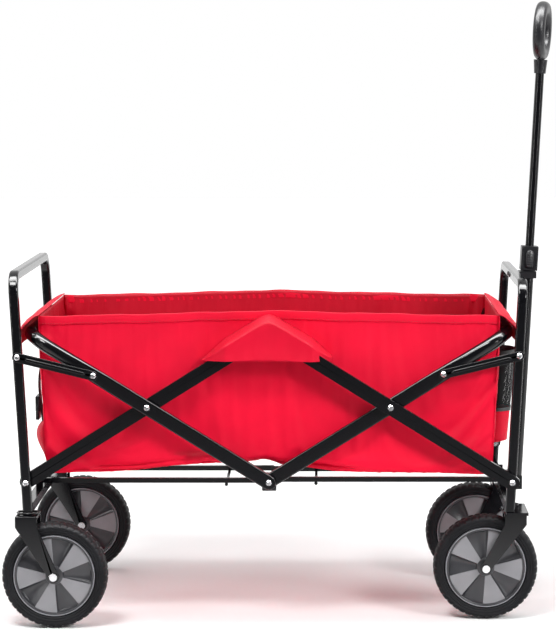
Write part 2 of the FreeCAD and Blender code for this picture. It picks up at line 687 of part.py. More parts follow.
lock_top = VALUE["outer_length"] + VALUE["lock_height"]
inner_low = lock_top - VALUE["tube_overlap"]
inner = rod("inner_tube", "extension + tube_overlap", (0, 0, inner_low), (0, 0, 1))
inner_bore = rod("inner_tube - tube_wall", "extension + tube_overlap + 4", (0, 0, inner_low - 2), (0, 0, 1))
subpart("handle_inner_tube", without(inner, [inner_bore]), handle_place)

socket_low = lock_top + VALUE["extension"]
socket = document.addObject("Part::Cone", "socket")
bind(socket, Radius1="inner_tube + 2.5", Radius2="grip_tube + 1", Height="socket_height")
socket.Placement = FreeCAD.Placement(FreeCAD.Vector(0, 0, socket_low), FreeCAD.Rotation())
subpart("grip_socket", socket, handle_place * socket.Placement)


def grip_loop():
    """An upright stadium-shaped loop of round bar, flattened where it meets the socket."""
    bend = VALUE["grip_bend"]
    reach = VALUE["grip_straight"] / 2
    centre = socket_low + VALUE["socket_height"] + bend + VALUE["grip_tube"] - 1
    pieces = []
    for _, side in SIDES:
        turn = document.addObject("Part::Torus", "bend")
        bind(turn, Radius1="grip_bend", Radius2="grip_tube")
        turn.Angle3 = 180
        facing = FreeCAD.Rotation(FreeCAD.Vector(0, 0, -side), FreeCAD.Vector(0, side, 0),
                                  FreeCAD.Vector(1, 0, 0), "ZYX")
        turn.Placement = FreeCAD.Placement(FreeCAD.Vector(0, side * reach, centre), facing)
        pieces.append(turn)
    for rise in (-bend, bend):
        pieces.append(rod_across("grip_tube", "grip_straight", 0, 0, centre + rise))
    foot = block("60", "120", "6", (0, 0, socket_low + VALUE["socket_height"] - 3))
    return without(joined(pieces), [foot])


grip_facing = FreeCAD.Placement(FreeCAD.Vector(), FreeCAD.Rotation(Z_AXIS, VALUE["grip_turn"]))
subpart("grip_loop", grip_loop(), handle_place * grip_facing)

# the clip on the front crossbar that the upright handle snaps into
clip_z = VALUE["front_top"]
clip_x = leg_line(clip_z)
tube_line = clip_x + VALUE["handle_setback"]
clip_back = clip_x + VALUE["frame_tube"] / 2 + 0.5
clip_depth = 30.0
clip_width = 36.0
clip_height = 12.0
clip_body = block(str(clip_depth), str(clip_width), str(clip_height), (clip_back + clip_depth / 2, 0, clip_z))
clip_bore = rod("handle_tube + side_gap", "60", (tube_line - 30 * math.tan(lean), 0, clip_z - 30),
                (math.sin(lean), 0, math.cos(lean)))
clip_mouth = block("30", "2 * handle_tube + 1", "30", (tube_line + 15, 0, clip_z))
clip_face = block("40", "60", "60", (clip_back + 0.1 - 20, 0, clip_z))
subpart("handle_clip", without(clip_body, [clip_bore, clip_mouth, clip_face]))


# ---- fabric tub ----

inside = "2 * (tub_half_width - fabric)"
side_y = VALUE["tub_half_width"] - VALUE["fabric"] / 2
for name, side in SIDES:
    wall = panel((
        ("-tub_floor_half", "tub_floor_height"), ("tub_floor_half", "tub_floor_height"),
        ("tub_rim_half", "tub_rim_height"), ("0", "tub_peak_height"), ("-tub_rim_half", "tub_rim_height"),
    ), "fabric")
    subpart("tub_side_" + name, wall, placed(0, side * side_y, 0))

for name, end in (("front", 1), ("rear", -1)):
    sign = "" if end > 0 else "-"
    wall = panel((
        (sign + "(tub_floor_half)", "tub_floor_height"),
        (sign + "(tub_floor_half - fabric)", "tub_floor_height"),
        (sign + "(tub_rim_half - fabric)", "tub_rim_height"),
        (sign + "(tub_rim_half)", "tub_rim_height"),
    ), inside)
    flap = panel((
        (sign + "(tub_rim_half - fabric)", "tub_rim_height - fabric"),
        (sign + "(tub_rim_half - fabric)", "tub_rim_height"),
        (sign + "(tub_rim_half + 24)", "tub_rim_height - 10"),
        (sign + "(tub_rim_half + 30)", "tub_rim_height - 45"),
        (sign + "(tub_rim_half + 27)", "tub_rim_height - 45"),
        (sign + "(tub_rim_half + 21)", "tub_rim_height - 10 - fabric"),
    ), inside)
    subpart("tub_end_" + name, joined([wall, flap]))

floor_length = "2 * (tub_floor_half - fabric)"
floor_z = VALUE["tub_floor_height"] + VALUE["fabric"] / 2
subpart("tub_floor", block(floor_length, inside, "fabric", (0, 0, floor_z)))
mat_z = VALUE["tub_floor_height"] + VALUE["fabric"] + VALUE["mat_thickness"] / 2
mat_top = mat_z + VALUE["mat_thickness"] / 2
mat = block(floor_length + " - 8", inside + " - 8", "mat_thickness", (0, 0, mat_z))
strap_sunk = 0.2
strap_seat = block("124", "29", "2 * (strap_thickness + %s)" % strap_sunk, (0, 0, mat_top))
subpart("floor_mat", without(mat, [strap_seat]))
strap_z = mat_top - strap_sunk - VALUE["strap_thickness"] / 2
subpart("lift_strap", block("120", "strap_width", "strap_thickness", (0, 0, strap_z)))

flap_gap = 3.6
flap_y = outer_out + flap_gap + VALUE["fabric"] / 2
for name, side in SIDES:
    skirt = panel((
        ("-flap_half", "flap_low"), ("flap_half", "flap_low"),
        ("12", "tub_rim_height"), ("-12", "tub_rim_height"),
    ), "fabric")
    skirt.Placement = placed(0, side * flap_y, 0)
    roof_reach = flap_y + VALUE["fabric"] / 2 - VALUE["tub_half_width"]
    roof_y = side * (VALUE["tub_half_width"] + roof_reach / 2)
    roof_z = VALUE["tub_rim_height"] - VALUE["fabric"] / 2
    roof = block("24", str(roof_reach), "fabric", (0, roof_y, roof_z))
    subpart("side_flap_" + name, joined([skirt, roof]))


def end_wall_x(height):
    """Outer face of an end panel at a height."""
    rise = (height - VALUE["tub_floor_height"]) / (VALUE["tub_rim_height"] - VALUE["tub_floor_height"])
    return VALUE["tub_floor_half"] + rise * (VALUE["tub_rim_half"] - VALUE["tub_floor_half"])


for name, side in SIDES:
    top = VALUE["cup_low"] + VALUE["cup_height"]
    cup_x = end_wall_x(top) + VALUE["cup_depth"] / 2
    cup_y = side * VALUE["cup_place"]
    cup_z = (top + VALUE["cup_low"]) / 2
    outside = block("cup_depth", "cup_width", "cup_height", (cup_x, cup_y, cup_z))
    pocket = block("cup_depth - 2 * fabric", "cup_width - 2 * fabric", "cup_height",
                   (cup_x, cup_y, cup_z + VALUE["fabric"]))
    subpart("cup_holder_" + name, without(outside, [pocket]))

strap_length = 160.0
strap_rise = 122.0
strap_middle = VALUE["tub_floor_height"] + strap_rise
strap_x = -end_wall_x(strap_middle + strap_length / 2) - VALUE["strap_thickness"] / 2 - 0.2
strap_inset = 60.0
strap_y = strap_inset - VALUE["tub_half_width"]
strap_centre = (strap_x, strap_y, strap_middle)
subpart("closure_strap", block("strap_thickness", "strap_width", str(strap_length), strap_centre))


# ---- checks and export ----

document.recompute()
for item in document.Objects:
    if "Invalid" in item.State or "Error" in item.State:
        raise RuntimeError("failed feature: %s %s %s" % (item.Name, item.Label, item.State))
labels = [item.Label for item in subparts]
if len(set(labels)) != len(labels):
    raise RuntimeError("two sub-parts share a label")
for item in subparts:
    if item.Shape.isNull() or not item.Shape.isValid() or not item.Shape.Solids:
        raise RuntimeError("bad shape: " + item.Label)

os.makedirs("parts", exist_ok=True)
for item in subparts:
    item.Shape.exportStep("parts/%s.step" % item.Label)
    print("%-22s solids %d  volume %10.0f" % (item.Label, len(item.Shape.Solids), item.Shape.Volume))
print(len(subparts), "sub-parts")
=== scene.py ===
import json
import math

import bpy
import numpy as np
from mathutils import Matrix, Vector


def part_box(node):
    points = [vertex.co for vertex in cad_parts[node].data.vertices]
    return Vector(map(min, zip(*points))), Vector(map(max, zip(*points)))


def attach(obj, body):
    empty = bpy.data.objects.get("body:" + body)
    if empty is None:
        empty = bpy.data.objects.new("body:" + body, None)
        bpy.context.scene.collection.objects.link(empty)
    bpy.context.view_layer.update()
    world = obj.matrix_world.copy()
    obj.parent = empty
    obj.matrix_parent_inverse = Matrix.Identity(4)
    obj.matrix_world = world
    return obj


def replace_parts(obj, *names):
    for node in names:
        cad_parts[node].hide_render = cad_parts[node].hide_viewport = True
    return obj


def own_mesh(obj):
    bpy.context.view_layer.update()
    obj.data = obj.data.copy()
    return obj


# A folding wagon: gloss black scissor frame, red polyester tub, grey wheels, telescoping pull handle.
# Metres.  +X is the handle end, -Y faces the camera, +Z is up.

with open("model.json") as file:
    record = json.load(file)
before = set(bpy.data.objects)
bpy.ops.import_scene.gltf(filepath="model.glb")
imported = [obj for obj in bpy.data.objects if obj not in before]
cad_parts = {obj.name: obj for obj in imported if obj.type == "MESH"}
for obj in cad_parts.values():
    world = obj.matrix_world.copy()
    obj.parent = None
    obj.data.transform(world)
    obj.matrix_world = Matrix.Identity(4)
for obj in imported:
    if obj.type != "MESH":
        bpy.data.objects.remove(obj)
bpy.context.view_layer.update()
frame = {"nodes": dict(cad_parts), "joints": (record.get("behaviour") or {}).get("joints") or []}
NODES = frame["nodes"]
JOINTS = {joint["name"]: joint for joint in frame["joints"]}
MM = 0.001
ALONG = Vector((1, 0, 0))
ACROSS = Vector((0, 1, 0))
UP = Vector((0, 0, 1))


def joint_place(name):
    return Vector(JOINTS[name]["pos_m"])


def low(node):
    return Vector(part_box(node)[0])


def high(node):
    return Vector(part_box(node)[1])


# ---- materials ----

class Shader:
    """A Principled material whose extra nodes are added by short calls."""

    def __init__(self, name, colour, roughness, **sockets):
        self.material = bpy.data.materials.new(name)
        self.material.use_nodes = True
        self.tree = self.material.node_tree
        self.principled = self.tree.nodes["Principled BSDF"]
        self.principled.inputs["Base Color"].default_value = (*colour, 1)
        self.principled.inputs["Roughness"].default_value = roughness
        for socket, value in sockets.items():
            self.principled.inputs[socket.replace("_", " ")].default_value = value
        self.place = self.add("ShaderNodeTexCoord").outputs["Object"]

    def add(self, kind, values=(), **settings):
        node = self.tree.nodes.new(kind)
        for name, value in dict(values).items():
            node.inputs[name].default_value = value
        for name, value in settings.items():
            setattr(node, name, value)
        return node

    def link(self, start, end):
        self.tree.links.new(start, end)

    def split(self):
        """The X, Y and Z of a point on the object."""
        node = self.add("ShaderNodeSeparateXYZ")
        self.link(self.place, node.inputs[0])
        return node.outputs

    def noise(self, scale, detail=4):
        node = self.add("ShaderNodeTexNoise", {"Scale": scale, "Detail": detail})
        self.link(self.place, node.inputs["Vector"])
        return node.outputs["Fac"]

    def smooth_step(self, value, start, end, top=1.0):
        """Rises smoothly from 0 at start to top at end."""
        limits = {"From Min": start, "From Max": end, "To Max": top}
        node = self.add("ShaderNodeMapRange", limits, interpolation_type="SMOOTHSTEP")
        self.link(value, node.inputs["Value"])
        return node.outputs["Result"]

    def ramp(self, factor, start, end, low_at=0.3, high_at=0.7):
        node = self.add("ShaderNodeValToRGB")
        first, last = node.color_ramp.elements
        first.position, last.position = low_at, high_at
        first.color, last.color = (*start, 1), (*end, 1)
        self.link(factor, node.inputs["Fac"])
        return node.outputs["Color"]

    def math(self, operation, first, second=None):
        node = self.add("ShaderNodeMath", operation=operation)
        for socket, value in zip(node.inputs, (first, second)):
            if value is None:
                continue
            if isinstance(value, (int, float)):
                socket.default_value = value
            else:
                self.link(value, socket)
        return node.outputs[0]

    def colour(self, output):
        self.link(output, self.principled.inputs["Base Color"])

    def roughness(self, factor, start, end):
        node = self.add("ShaderNodeMapRange", {"To Min": start, "To Max": end})
        self.link(factor, node.inputs["Value"])
        self.link(node.outputs["Result"], self.principled.inputs["Roughness"])

    def bump(self, height, strength, distance):
        node = self.add("ShaderNodeBump", {"Strength": strength, "Distance": distance})
        self.link(height, node.inputs["Height"])
        self.link(node.outputs["Normal"], self.principled.inputs["Normal"])


def gloss_paint():
    """Black powder coat with a faint orange peel."""
    shader = Shader("black_powder_coat", (0.002, 0.002, 0.003), 0.14, IOR=1.44)
    shader.roughness(shader.noise(60), 0.1, 0.18)
    shader.bump(shader.noise(900, 2), 0.05, 0.0002)
    return shader.material


def zinc():
    """Bright zinc-plated steel."""
    shader = Shader("zinc_plate", (0.75, 0.75, 0.77), 0.22, Metallic=1.0)
    shader.roughness(shader.noise(400), 0.14, 0.34)
    shader.bump(shader.noise(1500), 0.08, 0.0001)
    return shader.material


def rubber():
    """Moulded rubber with a dusty bloom."""
    shader = Shader("tyre_rubber", (0.004, 0.004, 0.005), 0.6, Specular_IOR_Level=0.18)
    shader.colour(shader.ramp(shader.noise(25), (0.003, 0.003, 0.004), (0.007, 0.007, 0.009)))
    shader.roughness(shader.noise(90), 0.48, 0.66)
    shader.bump(shader.noise(1400, 3), 0.15, 0.0003)
    return shader.material


def moulded(name, colour, rough_low, rough_high, grain):
    """Injection-moulded plastic with a fine grain."""
    shader = Shader(name, colour, rough_low)
    lighter = tuple(min(1, 1.12 * c + 0.002) for c in colour)
    shader.colour(shader.ramp(shader.noise(30), colour, lighter))
    shader.roughness(shader.noise(120), rough_low, rough_high)
    shader.bump(shader.noise(grain, 3), 0.12, 0.0002)
    return shader.material


def polyester(name, colour, deep, weave_pitch=0.0011):
    """Coated plain-weave polyester: a fine weave, soft sheen and slight shade changes."""
    shader = Shader(name, colour, 0.5, Specular_IOR_Level=0.12)
    x, y, z = shader.split()
    turns = 2 * math.pi / weave_pitch
    warp = shader.math("SINE", shader.math("MULTIPLY", shader.math("ADD", x, y), turns))
    weft = shader.math("SINE", shader.math("MULTIPLY", z, turns))
    weave = shader.math("MULTIPLY", warp, weft)
    creases = shader.math("MULTIPLY", shader.noise(38, 5), 6.0)
    shader.bump(shader.math("ADD", weave, creases), 0.32, 0.00035)
    shader.colour(shader.ramp(shader.noise(9, 6), deep, colour, 0.3, 0.62))
    shader.roughness(shader.noise(55), 0.44, 0.6)
    return shader.material


def webbing(rib_pitch=0.0018):
    """Ribbed black polypropylene webbing."""
    shader = Shader("black_webbing", (0.012, 0.012, 0.013), 0.6, Sheen_Weight=0.1)
    height = shader.split()[2]
    ribs = shader.math("SINE", shader.math("MULTIPLY", height, 2 * math.pi / rib_pitch))
    shader.bump(ribs, 0.5, 0.0004)
    shader.colour(shader.ramp(shader.noise(300), (0.008, 0.008, 0.009), (0.02, 0.02, 0.022)))
    return shader.material


def net(mesh_pitch=0.0044):
    """Open black mesh: the holes are transparent."""
    shader = Shader("black_net", (0.004, 0.004, 0.005), 0.55, Specular_IOR_Level=0.2)
    x, y, z = shader.split()
    turns = 2 * math.pi / mesh_pitch
    across = shader.math("ADD", x, y)
    climb, fall = shader.math("ADD", across, z), shader.math("SUBTRACT", across, z)
    first = shader.math("SINE", shader.math("MULTIPLY", climb, turns))
    second = shader.math("SINE", shader.math("MULTIPLY", fall, turns))
    knots = shader.math("MULTIPLY", first, second)
    shader.link(shader.math("LESS_THAN", knots, 0.22), shader.principled.inputs["Alpha"])
    shader.bump(knots, 0.4, 0.0004)
    return shader.material


PAINT = gloss_paint()
ZINC = zinc()
RUBBER = rubber()
RIM_LIGHT = moulded("rim_light_grey", (0.19, 0.188, 0.2), 0.34, 0.48, 1600)
# The dark rim grey is painted shade: a darker copy of the grey rim plastic, laid on the disc and on the hollows
# between the wedges where the recesses fall into shade.
RIM_PAINTED_SHADE = moulded("rim_dark_grey", (0.028, 0.028, 0.032), 0.26, 0.4, 1600)
# The ring grey is a painted highlight: a light grey line that stands for the glint on the rim's bead edge.
PAINTED_HIGHLIGHT_RING = moulded("rim_ring_grey", (0.22, 0.22, 0.24), 0.25, 0.4, 1600)
PLASTIC = moulded("black_plastic", (0.004, 0.004, 0.006), 0.28, 0.42, 2200)
RED = polyester("red_polyester", (0.76, 0.002, 0.030), (0.64, 0.001, 0.024))
# The deeper red is painted shade: a darker copy of the same red polyester, standing in for shade on the top
# flaps, the tub floor and mat, the rear pocket and the cup pouches and bases.
RED_PAINTED_SHADE = polyester("deep_red_polyester", (0.62, 0.001, 0.024), (0.52, 0.001, 0.018))
# The inside red is painted shade: a still darker copy of the red polyester for the walls' inner faces, standing
# in for the shade inside the tub.
RED_INNER_SHADE = polyester("inside_red_polyester", (0.50, 0.001, 0.018), (0.42, 0.001, 0.014))
THREAD = moulded("red_thread", (0.36, 0.001, 0.01), 0.6, 0.8, 3000)
WEBBING = webbing()
NET = net()


# ---- mesh helpers ----

def new_piece(name, shape, material, body=None, smooth=True):
    """An object from a (vertices, faces) pair."""
    vertices, faces = shape
    mesh = bpy.data.meshes.new(name)
    mesh.from_pydata([tuple(v) for v in vertices], [], faces)
    mesh.update()
    piece = bpy.data.objects.new(name, mesh)
    bpy.context.collection.objects.link(piece)
    if material is not None:
        mesh.materials.append(material)
    for polygon in mesh.polygons:
        polygon.use_smooth = smooth
    if body:
        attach(piece, body)
    return piece


def merged(parts):
    """One vertex and face list from several (vertices, faces) pairs."""
    vertices, faces = [], []
    for part_vertices, part_faces in parts:
        start = len(vertices)
        vertices.extend(part_vertices)
        faces.extend([tuple(start + i for i in face) for face in part_faces])
    return vertices, faces


def rounded_section(a, b, radius, steps=4):
    """Points round a rectangle of half sizes a and b with rounded corners."""
    radius = min(radius, a - 1e-5, b - 1e-5)
    points = []
    for quarter, (su, sv) in enumerate(((1, 1), (-1, 1), (-1, -1), (1, -1))):
        for step in range(steps + 1):
            angle = math.radians(90 * quarter + 90 * step / steps)
            corner_u, corner_v = su * (a - radius), sv * (b - radius)
            points.append((corner_u + radius * math.cos(angle), corner_v + radius * math.sin(angle)))
    return points


def loft(stations, closed=False):
    """Skins a tube through stations of (centre, u axis, v axis, half u, half v, corner radius)."""
    vertices, faces = [], []
    rings = []
    for centre, u_axis, v_axis, a, b, radius in stations:
        ring = [centre + u_axis * u + v_axis * v for u, v in rounded_section(a, b, radius)]
        rings.append(range(len(vertices), len(vertices) + len(ring)))
        vertices.extend(ring)
    count = len(rings[0])
    pairs = list(zip(rings, rings[1:])) + ([(rings[-1], rings[0])] if closed else [])
    for first, second in pairs:
        for i in range(count):
            j = (i + 1) % count
            faces.append((first[i], first[j], second[j], second[i]))
    if not closed:
        faces.append(tuple(reversed(rings[0])))
        faces.append(tuple(rings[-1]))
    return vertices, faces


def ring_faces(segments, count):
    """Quads that join segments closed rings of count points, last ring to first."""
    faces = []
    for step in range(segments):
        base, following = step * count, (step + 1) % segments * count
        for i in range(count):
            j = (i + 1) % count
            faces.append((base + i, base + j, following + j, following + i))
    return faces


def scaled(profile):
    return [(radius * MM, offset * MM) for radius, offset in profile]


def revolve(profile, centre, segments=96, axis_u=ALONG, axis_v=UP, along=ACROSS):
    """Turns a closed profile of (radius, offset along the axis) about an axis."""
    vertices = []
    for step in range(segments):
        angle = 2 * math.pi * step / segments
        direction = axis_u * math.cos(angle) + axis_v * math.sin(angle)
        vertices.extend(centre + direction * r + along * y for r, y in profile)
    return vertices, ring_faces(segments, len(profile))


def grid(columns, rows, place):
    """A sheet of quads; place(u, v) gives a point for u and v from 0 to 1."""
    vertices = [place(i / columns, j / rows) for j in range(rows + 1) for i in range(columns + 1)]
    width = columns + 1
    faces = [
        (j * width + i, j * width + i + 1, (j + 1) * width + i + 1, (j + 1) * width + i)
        for j in range(rows) for i in range(columns)
    ]
    return vertices, faces


def flipped(shape):
    vertices, faces = shape
    return vertices, [tuple(reversed(face)) for face in faces]


def picked(columns, rows, wanted):
    """Indices of a grid's points whose column and row are wanted."""
    return [j * (columns + 1) + i for j in range(rows + 1) for i in range(columns + 1) if wanted(i, j)]


def box_mesh(centre, half):
    """An axis-aligned box."""
    corners = [
        Vector((centre[0] + sx * half[0], centre[1] + sy * half[1], centre[2] + sz * half[2]))
        for sx in (-1, 1) for sy in (-1, 1) for sz in (-1, 1)
    ]
    faces = [(0, 1, 3, 2), (4, 6, 7, 5), (0, 4, 5, 1), (2, 3, 7, 6), (0, 2, 6, 4), (1, 5, 7, 3)]
    return corners, faces


def softened(piece, width, segments=2):
    """Rounded edges and clean shading."""
    bevel = piece.modifiers.new("bevel", "BEVEL")
    bevel.width = width
    bevel.segments = segments
    bevel.limit_method = "ANGLE"
    bevel.angle_limit = math.radians(35)
    normals = piece.modifiers.new("normals", "WEIGHTED_NORMAL")
    normals.keep_sharp = True
    return piece


def dress_node(name, material, edge=0.0006):
    """A CAD node keeps its shape and gets welded, rounded edges and its material."""
    node = NODES[name]
    node.data.materials.clear()
    node.data.materials.append(material)
    weld = node.modifiers.new("weld", "WELD")
    weld.merge_threshold = 1e-5
    for polygon in node.data.polygons:
        polygon.use_smooth = True
    softened(node, edge)


# ---- steel: end frames and bows ----

TUBE = 16 * MM
TUBE_CORNER = 3.6 * MM
BEND = 31 * MM
LEAN = math.radians(3)


def end_frame(name, end, pivot):
    """Legs and top crossbar as one bent square tube with rounded corners."""
    outer = high(name).y - TUBE / 2
    up = Vector((end * math.sin(LEAN), 0, math.cos(LEAN)))
    face = Vector((math.cos(LEAN), 0, -end * math.sin(LEAN)))
    top = (high(name).z - pivot.z) / math.cos(LEAN) - TUBE / 2
    foot = (low(name).z - pivot.z) / math.cos(LEAN)
    arc_steps = 10
    route = [(-outer, foot, 90.0), (-outer, (foot + top) / 2, 90.0)]
    for step in range(arc_steps + 1):
        angle = 180 - 90 * step / arc_steps
        turn = math.radians(angle)
        route.append((-outer + BEND + BEND * math.cos(turn), top - BEND + BEND * math.sin(turn), angle - 90))
    route += [(-y, s, -tangent) for y, s, tangent in reversed(route)]
    stations = []
    for y, s, tangent in route:
        angle = math.radians(tangent)
        inward = Vector((0, -math.sin(angle), 0)) + up * math.cos(angle)
        centre = Vector((pivot.x, y, pivot.z)) + up * s
        stations.append((centre, face, inward, TUBE / 2, TUBE / 2, TUBE_CORNER))
    body = "rear_frame" if end < 0 else "front_frame"
    piece = new_piece(name.replace("_tube", "_bent_tube"), loft(stations), PAINT, body)
    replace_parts(softened(piece, 0.0004), name)


REAR_PIVOT = joint_place("fold")
FRONT_PIVOT = joint_place("front_leg_pivot")
end_frame("rear_frame_tube", -1, REAR_PIVOT)
end_frame("front_frame_tube", 1, FRONT_PIVOT)


def bow(name, end, body):
    """Flat-sided side bars that turn round towards the hidden cross tube, in one hoop."""
    centre_z = REAR_PIVOT.z
    scissor = joint_place("rear_bow_pivot")
    slope = math.atan2(scissor.z - centre_z, abs(scissor.x))
    along = Vector((end * math.cos(slope), 0, math.sin(slope)))
    across = Vector((-end * math.sin(slope), 0, math.cos(slope)))
    layer = high(name).y - 6 * MM
    reach = 471 * MM
    bend = 42 * MM
    bar, round_half = (12 * MM, 6 * MM), 11.6 * MM
    corner = 2.6 * MM
    half_route = []
    for share in (0, 0.15, 0.4, 0.8, 1.0):
        inset = 12 * MM * (1 - share)
        height = math.sqrt(max((12 * MM) ** 2 - inset ** 2, (2 * MM) ** 2))
        half_route.append((-12 * MM + 12 * MM * share, layer, 0.0, height, bar[1], corner))
    for share in np.linspace(0.05, 1.0, 12):
        blend = max(0.0, (share - 0.72) / 0.28)
        blend = blend * blend * (3 - 2 * blend)
        height = bar[0] + (round_half - bar[0]) * blend
        width = bar[1] + (round_half - bar[1]) * blend
        radius = corner + (round_half - corner) * blend
        half_route.append(((reach - bend) * share, layer, 0.0, height, width, radius))
    for step in range(1, 10):
        angle = 90 * step / 9
        turn = math.radians(angle)
        out, y = reach - bend + bend * math.sin(turn), layer - bend + bend * math.cos(turn)
        half_route.append((out, y, angle, round_half, round_half, round_half))
    mirrored = [(s, -y, 180 - angle, a, b, r) for s, y, angle, a, b, r in reversed(half_route)]
    stations = []
    for s, y, angle, a, b, radius in half_route + mirrored:
        turn = math.radians(angle)
        sideways = along * math.sin(turn) + Vector((0, math.cos(turn), 0))
        stations.append((Vector((0, y, centre_z)) + along * s, across, sideways, a, b, radius))
    piece = new_piece(name + "_hoop", loft(stations), PAINT, body)
    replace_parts(softened(piece, 0.0003), name)


bow("rear_bow", -1, "rear_bow")
bow("front_bow", 1, "front_bow")

STEEL_NODES = (
    "rear_lower_crossbar", "front_lower_crossbar", "rear_arm_left", "rear_arm_right", "front_arm_left",
    "front_arm_right", "rear_links", "front_links", "rear_floor_rails", "front_floor_rails", "rear_fork_left",
    "rear_fork_right", "front_fork_left", "front_fork_right", "caster_housing_left", "caster_housing_right",
    "handle_bracket", "handle_outer_tube", "handle_inner_tube",
)
for name in STEEL_NODES:
    dress_node(name, PAINT, 0.0022 if "arm" in name else 0.0008)
for name in NODES:
    if "rivets" in name or "bolt" in name:
        dress_node(name, ZINC, 0.0005)
for name in ("centre_hinge_blocks", "handle_clip", "lock_block", "grip_socket", "lock_button"):
    dress_node(name, PLASTIC, 0.0012)


def crossbar_bolts():
    """Two small button heads on the inner face of the front crossbar."""
    top = high("front_frame_tube").z - TUBE / 2
    face_x = FRONT_PIVOT.x + (top - FRONT_PIVOT.z) * math.tan(LEAN) - TUBE / 2
    dome = scaled([(0.01, -2.2), (2.2, -2.0), (3.6, -1.2), (4.2, 0), (0.01, 0)])
    parts = [
        revolve(dome, Vector((face_x, y, top)), 24, ACROSS, UP, ALONG)
        for y in (-16 * MM, 16 * MM)
    ]
    new_piece("crossbar_bolts", merged(parts), PLASTIC, "front_frame")


crossbar_bolts()


def link_ribs():
    """The raised rib pressed along each link."""
    for hinge, body in (("rear_link_pivot", "rear_links"), ("front_link_pivot", "front_links")):
        top = joint_place(hinge)
        rivet = (low(body[:-1] + "_rivets") + high(body[:-1] + "_rivets")) / 2
        foot = Vector((rivet.x, 0, rivet.z))
        direction = (foot - top).normalized()
        normal = Vector((-direction.z, 0, direction.x))
        face_y = high(body).y
        parts = []
        for side in (-1, 1):
            stations = []
            span = (foot - top).length
            for share, size in ((0.1, 0.3), (0.14, 1), (0.86, 1), (0.9, 0.3)):
                centre = top + direction * span * share
                centre.y = side * face_y
                stations.append((centre, normal, ACROSS, 2.6 * MM * size, 1.1 * MM * size, 1.0 * MM * size))
            parts.append(loft(stations))
        new_piece(body + "_rib", merged(parts), PAINT, body)


link_ribs()


def foot_brackets():
    """Pressed collars with scalloped lips round the rear legs' feet."""
    for name, side in (("left", 1), ("right", -1)):
        crown = high("rear_fork_" + name)
        centre_x = low("rear_fork_" + name).x + 18.5 * MM
        leg_y = side * (high("rear_frame_tube").y - TUBE / 2)
        parts = []
        for level, grow, thick_z in ((2.2, 5.2, 1.6), (-3.5, 3.2, 1.2)):
            stations = []
            steps = 72
            for step in range(steps):
                angle = 2 * math.pi * step / steps
                square = 1 / max(abs(math.cos(angle)), abs(math.sin(angle)))
                reach = (8 * MM + grow * MM) * min(square, 1.22) + 0.9 * MM * math.sin(8 * angle)
                x = centre_x + reach * 1.25 * math.cos(angle)
                centre = Vector((x, leg_y + reach * math.sin(angle), crown.z + level * MM))
                outward = Vector((math.cos(angle), math.sin(angle), 0))
                stations.append((centre, outward, UP, 1.5 * MM, thick_z * MM, 1.0 * MM))
            parts.append(loft(stations, closed=True))
        new_piece("foot_bracket_" + name, merged(parts), PAINT, "rear_frame")


foot_brackets()


# ---- wheels ----

LUGS = 44
WEDGES = 5
TYRE_PROFILE = (
    (68.6, 14), (69.4, 17.5), (71.5, 19.5), (73, 20.2), (73.6, 19.6), (74.6, 19.7), (75.2, 20.6),
    (77.4, 21.2), (78.0, 20.6), (79.0, 20.7), (79.6, 21.4), (81.5, 21.6), (83.0, 21.2), (84.6, 20.2),
    (86.2, 18.2), (87.3, 15.6), (88.0, 12.6), (88.5, 9.0), (88.8, 5.0), (88.9, 1.6),
)


def tyre_mesh(centre):
    """A tyre with a ribbed sidewall and alternating shoulder lugs."""
    per_lug = 8
    segments = LUGS * per_lug
    half = scaled(TYRE_PROFILE)
    profile = [(r, -y) for r, y in half] + [(r, y) for r, y in reversed(half)]
    vertices = []
    for step in range(segments):
        angle = 2 * math.pi * step / segments
        direction = Vector((math.cos(angle), 0, math.sin(angle)))
        for r, y in profile:
            phase = (step + (per_lug // 2 if y > 0 else 0)) % per_lug
            in_tread = r > 83.5 * MM
            cut = 1.3 * MM if in_tread and phase < 2 and abs(y) > 4 * MM else 0
            groove = 1.8 * MM if abs(y) < 2 * MM else 0
            vertices.append(centre + direction * (r - max(cut, groove)) + ACROSS * y)
    return vertices, ring_faces(segments, len(profile))


def wedge(centre, side, start, end, inner, outer, top, bottom):
    """A flat annular sector that stands up from the disc."""
    steps = 10
    vertices, faces = [], []
    for step in range(steps + 1):
        angle = math.radians(start + (end - start) * step / steps)
        direction = Vector((math.cos(angle), 0, math.sin(angle)))
        for radius in (inner, outer):
            for y in (bottom, top):
                vertices.append(centre + direction * radius + Vector((0, side * y, 0)))
    for step in range(steps):
        a, b = 4 * step, 4 * step + 4
        faces += [(a + 1, a + 3, b + 3, b + 1), (a, b, b + 2, a + 2)]
        faces += [(a, a + 1, b + 1, b), (a + 2, b + 2, b + 3, a + 3)]
    faces += [(0, 2, 3, 1), (4 * steps, 4 * steps + 1, 4 * steps + 3, 4 * steps + 2)]
    return vertices, faces


def hollow_blade(centre, side, start, end):
    """The dished surface between two raised wedges, deepest beside its leading edge."""
    hub, rim = 15 * MM, 63.4 * MM
    full_depth_at = 40 * MM

    def place(u, v):
        radius = hub + (rim - hub) * v
        angle = math.radians(start + (end - start) * u)
        dish = 6.5 * math.sin(math.pi * u ** 0.6) * min(1, radius / full_depth_at)
        height = (14.6 - 1.2 * u - dish) * MM
        return centre + Vector((math.cos(angle), 0, math.sin(angle))) * radius + ACROSS * side * height

    return grid(16, 12, place)


RIM_PROFILE = (
    (5.3, -17), (12, -17), (15, -15.5), (17, -8), (26, -6.5), (58, -6.5), (62, -10), (63.5, -17.5), (66, -18.6),
    (68.9, -18.6), (68.9, 18.6), (66, 18.6), (63.5, 17.5), (62, 10), (58, 6.5), (26, 6.5), (17, 8), (15, 15.5),
    (12, 17), (5.3, 17),
)
RING_PROFILE = ((66.5, 18.4), (66.9, 19.4), (67.7, 19.4), (68.2, 18.4))


